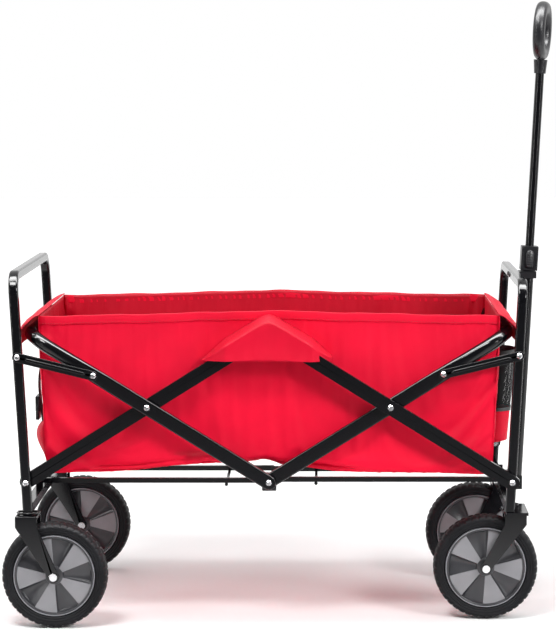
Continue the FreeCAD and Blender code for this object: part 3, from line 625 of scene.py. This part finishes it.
def wheel(end, name, first_wedge):
    """Tyre, rim disc with five raised wedges a side, and a bead ring. The dark grey of the disc and the hollows
    is painted shade in the recesses; the light grey of the ring is a painted highlight.
    """
    body = "%s_wheel_%s" % (end, name)
    label = "%s_%%s_%s" % (end, name)
    centre = joint_place("%s_wheel_spin_%s" % (end, name))
    pitch = 360 / WEDGES
    blades = [(side, first_wedge + pitch * index) for side in (-1, 1) for index in range(WEDGES)]
    tyre = new_piece(label % "tread", tyre_mesh(centre), RUBBER, body)
    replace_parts(tyre, label % "tyre")
    disc = revolve(scaled(RIM_PROFILE), centre, 120)
    rim = softened(new_piece(label % "rim_disc", disc, RIM_PAINTED_SHADE, body), 0.0005)
    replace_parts(rim, label % "rim")
    half = pitch / 4
    wedges = merged([
        wedge(centre, side, middle - half, middle + half, 12 * MM, 63.6 * MM, 15.5 * MM, 7 * MM)
        for side, middle in blades
    ])
    softened(new_piece(label % "rim_wedges", wedges, RIM_LIGHT, body, False), 0.0012)
    hollows = merged([
        hollow_blade(centre, side, middle + half, middle + 3 * half) for side, middle in blades
    ])
    new_piece(label % "rim_hollows", hollows, RIM_PAINTED_SHADE, body)
    rings = merged([
        revolve([(r, side * y) for r, y in scaled(RING_PROFILE)], centre, 120) for side in (-1, 1)
    ])
    new_piece(label % "rim_ring", rings, PAINTED_HIGHLIGHT_RING, body)


for end, name, first_wedge in (
    ("rear", "right", 40), ("front", "right", 68), ("rear", "left", 75), ("front", "left", 20),
):
    wheel(end, name, first_wedge)


# ---- pull handle ----

HANDLE_UP = Vector((math.sin(LEAN), 0, math.cos(LEAN)))
HANDLE_OUT = Vector((math.cos(LEAN), 0, -math.sin(LEAN)))
HANDLE_FOOT = joint_place("handle_tilt")


def on_handle(up, out=0.0, side=0.0):
    return HANDLE_FOOT + HANDLE_UP * up + HANDLE_OUT * out + Vector((0, side, 0))


def grip():
    """An oval loop grip, turned a little about the tube."""
    centre_up = 788.5 * MM
    turn = math.radians(-12)
    corner_gain = 6
    turned_out = HANDLE_OUT * math.cos(turn) + Vector((0, math.sin(turn), 0))
    turned_side = Vector((0, math.cos(turn), 0)) - HANDLE_OUT * math.sin(turn)
    bend, reach = 40 * MM, 6 * MM
    stations = []
    for step in range(72):
        angle = 2 * math.pi * step / 72
        straight = reach * math.copysign(1, math.cos(angle)) * min(1, abs(math.cos(angle)) * corner_gain)
        side = bend * math.cos(angle) + straight
        rise = bend * math.sin(angle)
        outward = (turned_side * math.cos(angle) + HANDLE_UP * math.sin(angle)).normalized()
        centre = on_handle(centre_up + rise) + turned_side * side
        stations.append((centre, turned_out, outward, 10.5 * MM, 11 * MM, 9 * MM))
    piece = new_piece("grip_oval", loft(stations, closed=True), PLASTIC, "handle_extension")
    smooth = piece.modifiers.new("smooth", "SUBSURF")
    smooth.levels = smooth.render_levels = 1
    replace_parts(piece, "grip_loop")


def bar_piece(start, end, wide, half_wide, half_deep, corner):
    """A short straight raised bar on the lock block."""
    return loft([(spot, wide, ACROSS, half_wide, half_deep, corner) for spot in (start, end)])


def button_outline():
    """An arch over a squared foot, as (outward, upward) pairs."""
    outline = []
    for step in range(24):
        angle = 2 * math.pi * step / 24
        across = 7.4 * MM * max(-1, min(1, 1.25 * math.cos(angle)))
        climb = 15 * math.sin(angle) if math.sin(angle) > 0 else 17 * max(-1, 1.3 * math.sin(angle))
        outline.append((across, (climb - 4) * MM))
    return outline


def lock_details():
    """Ribs down the lock block, an arched button with raised ribs, and a collar under the block."""
    face = -17.2 * MM
    base = 371.5 * MM
    rib_out, rib_low, rib_high = 12 * MM, 3 * MM, 39 * MM
    ribs = merged([
        bar_piece(on_handle(base + rib_low, out, face), on_handle(base + rib_high, out, face),
                  HANDLE_OUT, 1.3 * MM, 1 * MM, 0.8 * MM)
        for out in (-rib_out, rib_out)
    ])
    softened(new_piece("lock_ribs", ribs, PLASTIC, "handle"), 0.0004)
    centre = (low("lock_button") + high("lock_button")) / 2
    back, front = centre.copy(), centre.copy()
    back.y = low("lock_button").y + 1 * MM
    front.y = low("lock_button").y - 0.8 * MM
    pad = button_outline()
    vertices = [back + HANDLE_OUT * u + HANDLE_UP * v for u, v in pad]
    vertices += [front + HANDLE_OUT * u * 0.8 + HANDLE_UP * v * 0.85 for u, v in pad]
    count = len(pad)
    faces = [(i, (i + 1) % count, count + (i + 1) % count, count + i) for i in range(count)]
    faces += [tuple(reversed(range(count))), tuple(range(count, 2 * count))]
    parts = [(vertices, faces)]
    for index in range(6):
        where = centre + HANDLE_UP * (-17 + 4 * index) * MM
        where.y = front.y
        reach = HANDLE_OUT * 5 * MM
        parts.append(bar_piece(where - reach, where + reach, HANDLE_UP, 0.7 * MM, 0.7 * MM, 0.4 * MM))
    new_piece("button_pad", merged(parts), PLASTIC, "lock_button")
    profile = scaled([(10.1, -6), (12.4, -5.6), (12.8, -4), (12.8, -1.2), (12.2, -0.2), (10.1, -0.2)])
    collar = revolve(profile, on_handle(base), 48, HANDLE_OUT, ACROSS, HANDLE_UP)
    softened(new_piece("lock_collar", collar, PLASTIC, "handle"), 0.0006)


grip()
lock_details()


# ---- fabric ----

TUB_Y = high("tub_side_left").y
TUB_FLOOR = low("tub_side_left").z
TUB_RIM = 520 * MM  # rim at the ends, where the side panels' peak hasn't begun
TUB_PEAK = high("tub_side_left").z
FLOOR_HALF = 376 * MM
RIM_HALF = high("tub_side_left").x
CLOTH = 1.1 * MM


def thick(piece, amount=CLOTH, inner_shade=None):
    """Gives a sheet its thickness, and where a second material is given, puts it on the inner side as painted
    shade.
    """
    shell = piece.modifiers.new("thickness", "SOLIDIFY")
    shell.thickness = amount
    shell.offset = 0
    if inner_shade is not None:
        piece.data.materials.append(inner_shade)
        shell.material_offset = 1
    return piece


def soft(piece, slot, *nodes):
    """Fabric rides on the rear frame, takes the place of the given CAD nodes and gets a mesh of its own."""
    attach(piece, "rear_frame")
    if nodes:
        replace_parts(piece, *nodes)
    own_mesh(piece)


def relax(piece, pinned, frames, slack, cap, face=None):
    """Lets pinned cloth with some spare length settle, then keeps the result within a cap."""
    start = np.array([v.co[:] for v in piece.data.vertices])
    group = piece.vertex_groups.new(name="pinned")
    group.add([int(i) for i in pinned], 1.0, "REPLACE")
    cloth = piece.modifiers.new("cloth", "CLOTH")
    behaviour = {
        "quality": 6, "mass": 0.12, "tension_stiffness": 18, "compression_stiffness": 12, "shear_stiffness": 6,
        "bending_stiffness": 0.25, "shrink_min": -slack, "vertex_group_mass": "pinned",
    }
    for name, value in behaviour.items():
        setattr(cloth.settings, name, value)
    cloth.collision_settings.use_collision = False
    cloth.point_cache.frame_end = frames + 1
    for step in range(1, frames + 1):
        bpy.context.scene.frame_set(step)
    settled = piece.evaluated_get(bpy.context.evaluated_depsgraph_get())
    moved = np.array([v.co[:] for v in settled.data.vertices]) - start
    piece.modifiers.remove(cloth)
    bpy.context.scene.frame_set(1)
    length = np.linalg.norm(moved, axis=1, keepdims=True)
    moved *= np.minimum(1.0, cap / np.maximum(length, 1e-9))
    final = start + moved
    if face is not None:
        side, limit = face
        final[:, 1] = side * np.minimum(side * final[:, 1], limit)
    for vertex, spot in zip(piece.data.vertices, final):
        vertex.co = spot
    piece.data.update()


def rim_height(x):
    """The rim rises gently to a peak over the centre hinges."""
    return TUB_RIM + (TUB_PEAK - TUB_RIM) * (1 - min(1, abs(x) / RIM_HALF)) ** 1.3


HEM_LINE = (
    (-376, -4.5), (-224, 2.6), (-142, 10.8), (-21, 18), (0, 23), (12, 11), (60, 6), (110, 0), (350, -4.5),
)
CROWN_LINE = ((-376, 0), (-224, 3), (-142, 11), (-30, 19), (0, 22), (60, 9), (150, 2), (376, 0))


def along_line(line, x):
    return float(np.interp(x, [spot[0] * MM for spot in line], [spot[1] * MM for spot in line]))


def hem_height(x):
    """The lower edge droops at the ends and rises to a notch at the centre hinge."""
    smooth = sum(along_line(HEM_LINE, x + step * 4 * MM) for step in range(-3, 4)) / 7
    return TUB_FLOOR + smooth + 0.8 * MM * math.sin(31 * x)


def floor_crown(x):
    return sum(along_line(CROWN_LINE, x + step * 6 * MM) for step in range(-4, 5)) / 9


def wall_half(z):
    share = (z - TUB_FLOOR) / (TUB_RIM - TUB_FLOOR)
    return FLOOR_HALF + (RIM_HALF - FLOOR_HALF) * share


# start x, start z, end x, end z, width and rise of each crease, in millimetres
CREASES = (
    (-345, 262, -225, 305, 9, 3.6), (-372, 300, -300, 262, 7, 2.4), (105, 292, 235, 262, 11, 3.6),
    (300, 300, 378, 395, 8, 4.0), (352, 262, 366, 500, 5, 2.2), (-206, 470, -115, 388, 12, 3.4),
    (60, 497, 165, 442, 12, 3.0), (-372, 480, -240, 500, 10, 3.0), (240, 500, 376, 470, 10, 3.4),
    (-60, 330, -150, 270, 14, 3.2), (60, 340, 150, 300, 16, -3.0), (-330, 400, -250, 330, 16, -3.0),
    (-368, 262, -374, 505, 4, 1.6), (200, 400, 330, 330, 18, -2.6), (-300, 450, -180, 430, 14, -2.4),
)


def side_wall(name, side):
    """One long side of the tub."""
    columns, rows = 150, 52

    def place(u, v):
        rough_x = (2 * u - 1) * FLOOR_HALF
        z = hem_height(rough_x) + (rim_height(rough_x) - hem_height(rough_x)) * v
        x = (2 * u - 1) * wall_half(z)
        pinch = math.exp(-((x / (150 * MM)) ** 2)) * math.exp(-(((z - 250 * MM) / (60 * MM)) ** 2))
        billow = math.sin(math.pi * u) * math.sin(math.pi * v)
        inward = 4.0 * MM + 5 * MM * pinch - 2.5 * MM * billow + 5.5 * MM * v * v
        for x1, z1, x2, z2, width, rise in CREASES:
            run, climb = (x2 - x1) * MM, (z2 - z1) * MM
            length = math.hypot(run, climb)
            away, up = x - x1 * MM, z - z1 * MM
            share = (away * run + up * climb) / length ** 2
            offset = (away * climb - up * run) / length
            fade = math.exp(-max(0, -share, share - 1) ** 2 * 14)
            inward -= rise * MM * math.exp(-(offset / (width * MM)) ** 2) * fade
        return Vector((x, side * (TUB_Y - inward), z))

    shape = grid(columns, rows, place)
    piece = new_piece("tub_wall_" + name, flipped(shape) if side > 0 else shape, RED)
    border = picked(columns, rows, lambda i, j: (
        i in (0, columns) or j >= rows - 1 or (j == 0 and i % 5 != 2)))
    relax(piece, border, 22, 0.012, 7 * MM, (side, TUB_Y + 1.5 * MM))
    thick(piece, inner_shade=RED_INNER_SHADE)
    soft(piece, "red_fabric", "tub_side_" + name)
    return piece


def strip_along(points, half_height, half_thick, corner):
    """A flat band whose middle follows points; it stands upright."""
    stations = []
    for index, point in enumerate(points):
        before, after = points[max(0, index - 1)], points[min(len(points) - 1, index + 1)]
        tangent = (after - before).normalized()
        outward = tangent.cross(UP).normalized()
        stations.append((point, UP, outward, half_height, half_thick, corner))
    return loft(stations)


def stitches(name, runs, spacing=4.5 * MM):
    """Short raised threads along runs of (points, outward direction)."""
    parts = []
    for points, outward in runs:
        for start, end in zip(points, points[1:]):
            span = (end - start).length
            count = max(1, int(span / spacing))
            direction = (end - start) / span
            rise = outward.cross(direction).normalized()
            for index in range(count):
                centre = start + direction * (index + 0.5) * span / count
                reach = direction * 1.3 * MM
                parts.append(loft([
                    (centre - reach, rise, outward, 0.35 * MM, 0.3 * MM, 0.2 * MM),
                    (centre + reach, rise, outward, 0.35 * MM, 0.3 * MM, 0.2 * MM),
                ]))
    piece = new_piece(name, merged(parts), THREAD)
    soft(piece, "red_fabric")
    return piece


def rim_hem(name, side):
    """The turned-over hem along the rim with its line of stitching."""
    points = []
    for share in np.linspace(0, 1, 61):
        x = (2 * share - 1) * (RIM_HALF - 0.5 * MM)
        dip = 0.6 * MM * math.sin(40 * x) + 0.4 * MM * math.sin(93 * x)
        points.append(Vector((x, side * (TUB_Y - 8.0 * MM), rim_height(x) - 6.5 * MM + dip)))
    hem = new_piece("rim_hem_" + name, strip_along(points, 7.5 * MM, 1.5 * MM, 1.2 * MM), RED)
    soft(hem, "red_fabric")
    outward = Vector((0, side, 0))
    line = [point + Vector((0, side * 1.7 * MM, -5 * MM)) for point in points[::3]]
    thread = stitches("rim_stitches_" + name, [(line, outward)])
    return hem, thread


def side_flap(name, side):
    """The tent-shaped flap that covers the top pivot, draped over the crossing bars."""
    top_pivot = joint_place("top_pivot")
    slope = math.tan(math.atan2(top_pivot.z - REAR_PIVOT.z, -REAR_PIVOT.x))
    half = high("side_flap_" + name).x + 4 * MM
    lower = low("side_flap_" + name).z
    over = high("side_flap_left").y
    columns, rows = 90, 26

    def place(u, v):
        x = (2 * u - 1) * half - (12 * MM * (u - 0.5) if u > 0.5 else 0)
        crown = math.sqrt(x * x + (9 * MM) ** 2) - 9 * MM
        bar_top = top_pivot.z + 15 * MM - slope * crown
        hem = lower - 1.5 * MM * math.cos(2.2 * math.pi * u) + 2 * MM * abs(2 * u - 1)
        bar_top = max(bar_top, hem + 1 * MM)
        narrow = min(1, max(0, (bar_top - hem) / (24 * MM)))
        if v < 0.35:
            share = v / 0.35
            curve = math.sin(0.5 * math.pi * share)
            z = bar_top + (11 * MM) * (1 - share) * narrow + 0.5 * MM
            start = TUB_Y - 6 * MM
            y = start + (over - start) * curve * (0.35 + 0.65 * narrow)
        else:
            share = (v - 0.35) / 0.65
            z = bar_top + 0.5 * MM + (hem - bar_top) * share
            sag = 1.6 * MM * math.sin(math.pi * share) * math.sin(math.pi * u)
            y = over - sag - (1 - narrow) * (over - TUB_Y) * 0.65
        y += 0.7 * MM * math.sin(14 * math.pi * u) * v * narrow
        return Vector((x, side * y, z))

    piece = new_piece("top_flap_" + name, grid(columns, rows, place), RED_PAINTED_SHADE)
    thick(piece)
    soft(piece, "red_fabric", "side_flap_" + name)


def end_wall(name, end):
    """A short end of the tub."""
    columns, rows = 70, 44
    inset = 1.2 * MM

    def place(u, v):
        z = TUB_FLOOR + 1 * MM + (TUB_RIM - TUB_FLOOR - 1 * MM) * v
        y = (2 * u - 1) * (TUB_Y - 3 * MM)
        sag = 3 * MM * math.sin(math.pi * u) * math.sin(math.pi * v)
        return Vector((end * (wall_half(z) - inset - sag), y, z))

    shape = grid(columns, rows, place)
    piece = new_piece("tub_end_wall_" + name, flipped(shape) if end < 0 else shape, RED)
    border = picked(columns, rows, lambda i, j: i in (0, columns) or j in (0, rows))
    relax(piece, border, 18, 0.01, 5 * MM)
    thick(piece, inner_shade=RED_INNER_SHADE)
    soft(piece, "red_fabric", "tub_end_" + name)
    return piece


def end_flap(name, end):
    """The flap from the rim over the bow's cross tube, open at both sides."""
    bow_half = high("%s_bow" % name).y
    profile = [(-2, 1), (6, 0.5), (14, -4), (22, -9), (28, -16), (31, -25), (31.5, -36), (30, -47)]
    columns, rows = 80, 28
    distances = np.linspace(0, 1, len(profile))

    def place(u, v):
        out = float(np.interp(v, distances, [p[0] for p in profile])) * MM
        down = float(np.interp(v, distances, [p[1] for p in profile])) * MM
        widen = (bow_half - 5 * MM - TUB_Y) * min(1, v * 1.8)
        y = (2 * u - 1) * (TUB_Y - 1 * MM + widen)
        edge = abs(2 * u - 1) ** 8
        wave = 1.4 * MM * math.sin(5 * math.pi * u) * v
        droop = -14 * MM * edge * v
        return Vector((end * (RIM_HALF + out + wave), y, TUB_RIM + down + droop + 2 * MM * (1 - v)))

    piece = new_piece("end_flap_" + name, grid(columns, rows, place), RED)
    smooth = piece.modifiers.new("smooth", "SUBSURF")
    smooth.levels = smooth.render_levels = 1
    thick(piece)
    soft(piece, "red_fabric")
    outward = ALONG * end
    line = [place(0.02 + 0.96 * share, 0.93) + outward * 0.9 * MM for share in np.linspace(0, 1, 30)]
    thread = stitches("end_flap_stitches_" + name, [(line, outward)])


def mat_half(start, end, base, thickness, half_y):
    """One padded half of the mat: crowned faces with sewn channels, closed round its edge."""
    half_x, centre_x = (end - start) / 2, (end + start) / 2
    columns, rows = 56, 60
    seam_depth, seam_width = 1.6 * MM, 5 * MM
    layers = []
    for surface in (1, -1):
        def place(across, along):
            u, v = 2 * across - 1, 2 * along - 1
            crown = (1 - abs(u) ** 8) * (1 - abs(v) ** 8)
            seam = min(abs(v - 0.5), abs(v + 0.5), abs(v)) * half_y
            pinch = seam_depth * math.exp(-(seam / seam_width) ** 2)
            rise = thickness / 2 + surface * (thickness / 2 * (0.35 + 0.65 * crown) - pinch * crown)
            pull = 1 - 0.006 * (1 - crown)
            x, y = centre_x + u * half_x * pull, v * half_y * pull
            return Vector((x, y, base + rise + floor_crown(x)))

        layers.append(grid(columns, rows, place))
    upper, lower = layers
    vertices, faces = merged([upper, flipped(lower)])
    width, count = columns + 1, len(upper[0])
    edge = list(range(columns)) + [j * width + columns for j in range(rows)]
    edge += [count - 1 - i for i in edge]
    faces += [(b, a, count + a, count + b) for a, b in zip(edge, edge[1:] + edge[:1])]
    return vertices, faces


def tub_floor():
    """The fabric floor and the padded folding mat over it, in two hinged halves."""
    reach, across = FLOOR_HALF - 2 * MM, TUB_Y - 3 * MM

    def place(u, v):
        x = (2 * u - 1) * reach
        return Vector((x, (2 * v - 1) * across, TUB_FLOOR + 1.5 * MM + floor_crown(x)))

    floor = new_piece("tub_floor_cloth", grid(60, 36, place), RED_PAINTED_SHADE)
    thick(floor)
    soft(floor, "red_fabric", "tub_floor")
    mat_low, mat_high = low("floor_mat"), high("floor_mat")
    for name, start, end in (("rear", mat_low.x, -2 * MM), ("front", 2 * MM, mat_high.x)):
        shape = mat_half(start, end, mat_low.z, mat_high.z - mat_low.z, mat_high.y - 1 * MM)
        mat = new_piece("floor_mat_" + name, shape, RED_PAINTED_SHADE)
        soft(mat, "floor_mat_fabric", *(["floor_mat"] if name == "rear" else []))


def lift_strap():
    """The webbing loop that pulls the floor up to fold the wagon."""
    strap_low, strap_high = low("lift_strap"), high("lift_strap")
    half_y = (strap_high.y - strap_low.y) / 2

    def place(u, v):
        x = strap_low.x + (strap_high.x - strap_low.x) * u
        arch = 9 * MM * math.sin(math.pi * u) ** 2
        return Vector((x, (2 * v - 1) * half_y, strap_low.z + 4 * MM + floor_crown(x) + arch))

    strap = thick(new_piece("lift_strap_web", grid(40, 8, place), WEBBING), 1.6 * MM)
    soft(strap, "black_webbing", "lift_strap")


def cup_holder(name):
    """A drop pocket on the front end: net above, red fabric below, taped rim and hanging straps."""
    node = "cup_holder_" + name
    node_low, node_high = low(node), high(node)
    middle = (node_low.y + node_high.y) / 2
    half_y = (node_high.y - node_low.y) / 2
    depth = node_high.x - node_low.x
    band = 0.36

    def wall(u, v, grow=0.0):
        angle = math.pi * u
        taper = 0.78 + 0.22 * v
        z = node_low.z + (node_high.z - node_low.z) * v
        bulge = abs(math.sin(angle)) ** 0.8
        base = wall_half(z) + 1.2 * MM
        crumple = 1.6 * MM * math.sin(7 * angle + 3 * v) * math.sin(math.pi * v)
        y = middle - math.cos(angle) * half_y * taper
        return Vector((base + (depth - 1 * MM) * bulge * taper + crumple * bulge + grow, y, z))

    for part, start, end, material in (("net", band, 1.0, NET), ("pouch", 0.0, band, RED_PAINTED_SHADE)):
        shape = grid(40, 20, lambda u, v: wall(u, start + (end - start) * v))
        piece = thick(new_piece("cup_%s_%s" % (part, name), shape, material), 0.9 * MM)
        soft(piece, "black_mesh" if part == "net" else "red_fabric", *([node] if part == "net" else []))
    bands = []
    for level in (1.0, band):
        points = [wall(u, level, 0.8 * MM) for u in np.linspace(0.0, 1.0, 33)]
        bands.append(strip_along(points, 6 * MM if level == 1.0 else 3 * MM, 0.9 * MM, 0.6 * MM))
    for corner in (0.0, 1.0):
        foot = wall(corner, 1.0)
        lean = 12 * MM if corner == 0 else -12 * MM
        head = Vector((wall_half(TUB_RIM - 50 * MM) + 2 * MM, foot.y + lean, TUB_RIM - 48 * MM))
        bands.append(loft([(spot, ACROSS, ALONG, 6 * MM, 0.8 * MM, 0.5 * MM) for spot in (foot, head)]))
    tape = new_piece("cup_tape_" + name, merged(bands), WEBBING)
    soft(tape, "black_webbing")

    def bottom(u, v):
        edge = wall(u, 0.0)
        inner = Vector((wall_half(edge.z) + 1.2 * MM, edge.y, edge.z))
        return inner + (edge - inner) * v + Vector((0, 0, -1.5 * MM * math.sin(math.pi * v)))

    base = thick(new_piece("cup_base_" + name, grid(30, 8, bottom), RED_PAINTED_SHADE), 0.9 * MM)
    soft(base, "red_fabric")


def closure_point(u, v):
    """A point on the rear strap, which bows a little away from the end wall."""
    node_low, node_high = low("closure_strap"), high("closure_strap")
    z = node_low.z + (node_high.z - node_low.z) * u
    out = 9 * MM * math.sin(math.pi * u) ** 1.5 + 1.0 * MM * math.sin(11 * u)
    return Vector((-wall_half(z) - 2 * MM - out, node_low.y + (node_high.y - node_low.y) * v, z))


def closure_strap():
    """The rear strap."""
    strap = thick(new_piece("closure_web", grid(50, 8, closure_point), WEBBING), 1.8 * MM)
    soft(strap, "black_webbing", "closure_strap")


def rear_pocket():
    """A small slack pocket low on the rear end wall."""
    def lobe(u, v):
        z = TUB_FLOOR + (20 + 62 * v) * MM
        out = 19 * MM * (math.sin(math.pi * u) * math.sin(math.pi * v ** 1.3)) ** 0.6
        return Vector((-wall_half(z) - 0.6 * MM - out, (-200 + 110 * u) * MM, z))

    pocket = thick(new_piece("rear_pocket", grid(36, 24, lobe), RED_PAINTED_SHADE))
    soft(pocket, "red_fabric")


def closure_buckle():
    """A side-release buckle on the rear strap."""
    centre = closure_point(0.42, 0.5) - ALONG * 4 * MM
    parts = [
        box_mesh(centre, (4 * MM, 17 * MM, 13 * MM)),
        box_mesh(centre + Vector((-1 * MM, 0, -20 * MM)), (3 * MM, 14 * MM, 8 * MM)),
    ]
    for edge in (-1, 1):
        clip = centre + Vector((0, edge * 15.5 * MM, -12 * MM))
        parts.append(box_mesh(clip, (2.6 * MM, 2 * MM, 9 * MM)))
    buckle = new_piece("closure_buckle", merged(parts), PLASTIC, None, False)
    soft(softened(buckle, 0.0014, 3), "black_plastic")


for name, side in (("left", 1), ("right", -1)):
    wall_piece = side_wall(name, side)
    hem, thread = rim_hem(name, side)
    side_flap(name, side)
    cup_holder(name)
for name, end in (("front", 1), ("rear", -1)):
    wall_piece = end_wall(name, end)
    end_flap(name, end)
tub_floor()
lift_strap()
closure_strap()
rear_pocket()
closure_buckle()


# ---- stage, light and camera ----

def stage():
    """A plain pale floor that falls off to grey in front of the wagon and glows white behind it, a painted
    light that fades it into the backdrop.
    """
    span, drop = 28, 0.0005
    shape = grid(1, 1, lambda u, v: Vector((span * (u - 0.5), span * (v - 0.5), -drop)))
    floor = new_piece("stage_floor", shape, None, None, False)
    shader = Shader("pale_floor", (0.92, 0.92, 0.92), 0.85)
    shader.roughness(shader.noise(3), 0.8, 0.95)
    depth = shader.split()[1]
    front_to_middle = shader.smooth_step(depth, -1.5, -0.5)
    shader.colour(shader.ramp(front_to_middle, (0.16, 0.16, 0.16), (0.93, 0.93, 0.93), 0.0, 1.0))
    # Painted light: the floor behind the wagon glows white, though it is no lamp.
    glow = shader.smooth_step(depth, 0.3, 3.0, 0.5)
    shader.principled.inputs["Emission Color"].default_value = (1, 1, 1, 1)
    shader.link(glow, shader.principled.inputs["Emission Strength"])
    floor.data.materials.append(shader.material)


def area_light(name, place, target, size, power):
    data = bpy.data.lights.new(name, "AREA")
    data.shape = "RECTANGLE"
    data.size, data.size_y = size
    data.energy = power
    light = bpy.data.objects.new(name, data)
    bpy.context.collection.objects.link(light)
    light.location = place
    light.rotation_euler = (Vector(target) - Vector(place)).to_track_quat("-Z", "Y").to_euler()
    return light


def studio():
    """A white surround with a soft key from the front left and a fill from the right."""
    world = bpy.data.worlds.new("studio")
    bpy.context.scene.world = world
    world.use_nodes = True
    tree = world.node_tree
    place = tree.nodes.new("ShaderNodeTexCoord").outputs["Generated"]
    split = tree.nodes.new("ShaderNodeSeparateXYZ")
    tree.links.new(place, split.inputs[0])
    shade = tree.nodes.new("ShaderNodeMapRange")
    shade.interpolation_type = "SMOOTHSTEP"
    for limit, value in {"From Min": -0.55, "From Max": 0.25, "To Min": 0.10, "To Max": 1.0}.items():
        shade.inputs[limit].default_value = value
    tree.links.new(split.outputs["Y"], shade.inputs["Value"])
    tree.links.new(shade.outputs["Result"], tree.nodes["Background"].inputs["Color"])
    tree.nodes["Background"].inputs[1].default_value = 1.0
    area_light("key", (-1.0, -2.2, 3.4), (0, 0, 0.35), (1.2, 0.8), 84)
    area_light("fill", (2.2, -2.6, 2.0), (0.1, 0, 0.35), (1.0, 0.7), 74)
    area_light("edge", (0, -0.35, 3.1), (0, -0.1, 0.3), (5.6, 0.28), 38)
    gloss = area_light("gloss", (0, -0.5, 3.1), (0, -0.1, 0.3), (5.6, 1.2), 420)
    gloss.visible_diffuse = False
    area_light("left_strip", (-2.4, -2.2, 1.0), (0, 0, 0.5), (0.12, 2.4), 22)
    area_light("right_strip", (2.6, -1.8, 1.2), (0.2, 0, 0.5), (0.10, 2.4), 16)


def camera():
    """The viewing angle: a long lens, a little above the rim, slightly right of the middle."""
    data = bpy.data.cameras.new("view")
    data.sensor_width = 36
    data.lens = 143.0
    data.shift_x, data.shift_y = -0.0184, -0.0070
    data.clip_end = 60
    eye = bpy.data.objects.new("view", data)
    bpy.context.collection.objects.link(eye)
    yaw, pitch, roll = (math.radians(angle) for angle in (0.917, -5.438, -0.146))
    forward = Vector((-math.sin(yaw) * math.cos(pitch), math.cos(yaw) * math.cos(pitch), math.sin(pitch)))
    right = Vector((math.cos(yaw), math.sin(yaw), 0))
    up = right.cross(forward)
    tilted_right = right * math.cos(roll) + up * math.sin(roll)
    tilted_up = up * math.cos(roll) - right * math.sin(roll)
    turn = Matrix((tilted_right, tilted_up, -forward)).transposed().to_4x4()
    eye.matrix_world = Matrix.Translation((0.1019, -4.3820, 0.9275)) @ turn
    bpy.context.scene.camera = eye


stage()
studio()
camera()
bpy.context.scene.view_settings.view_transform = "Standard"
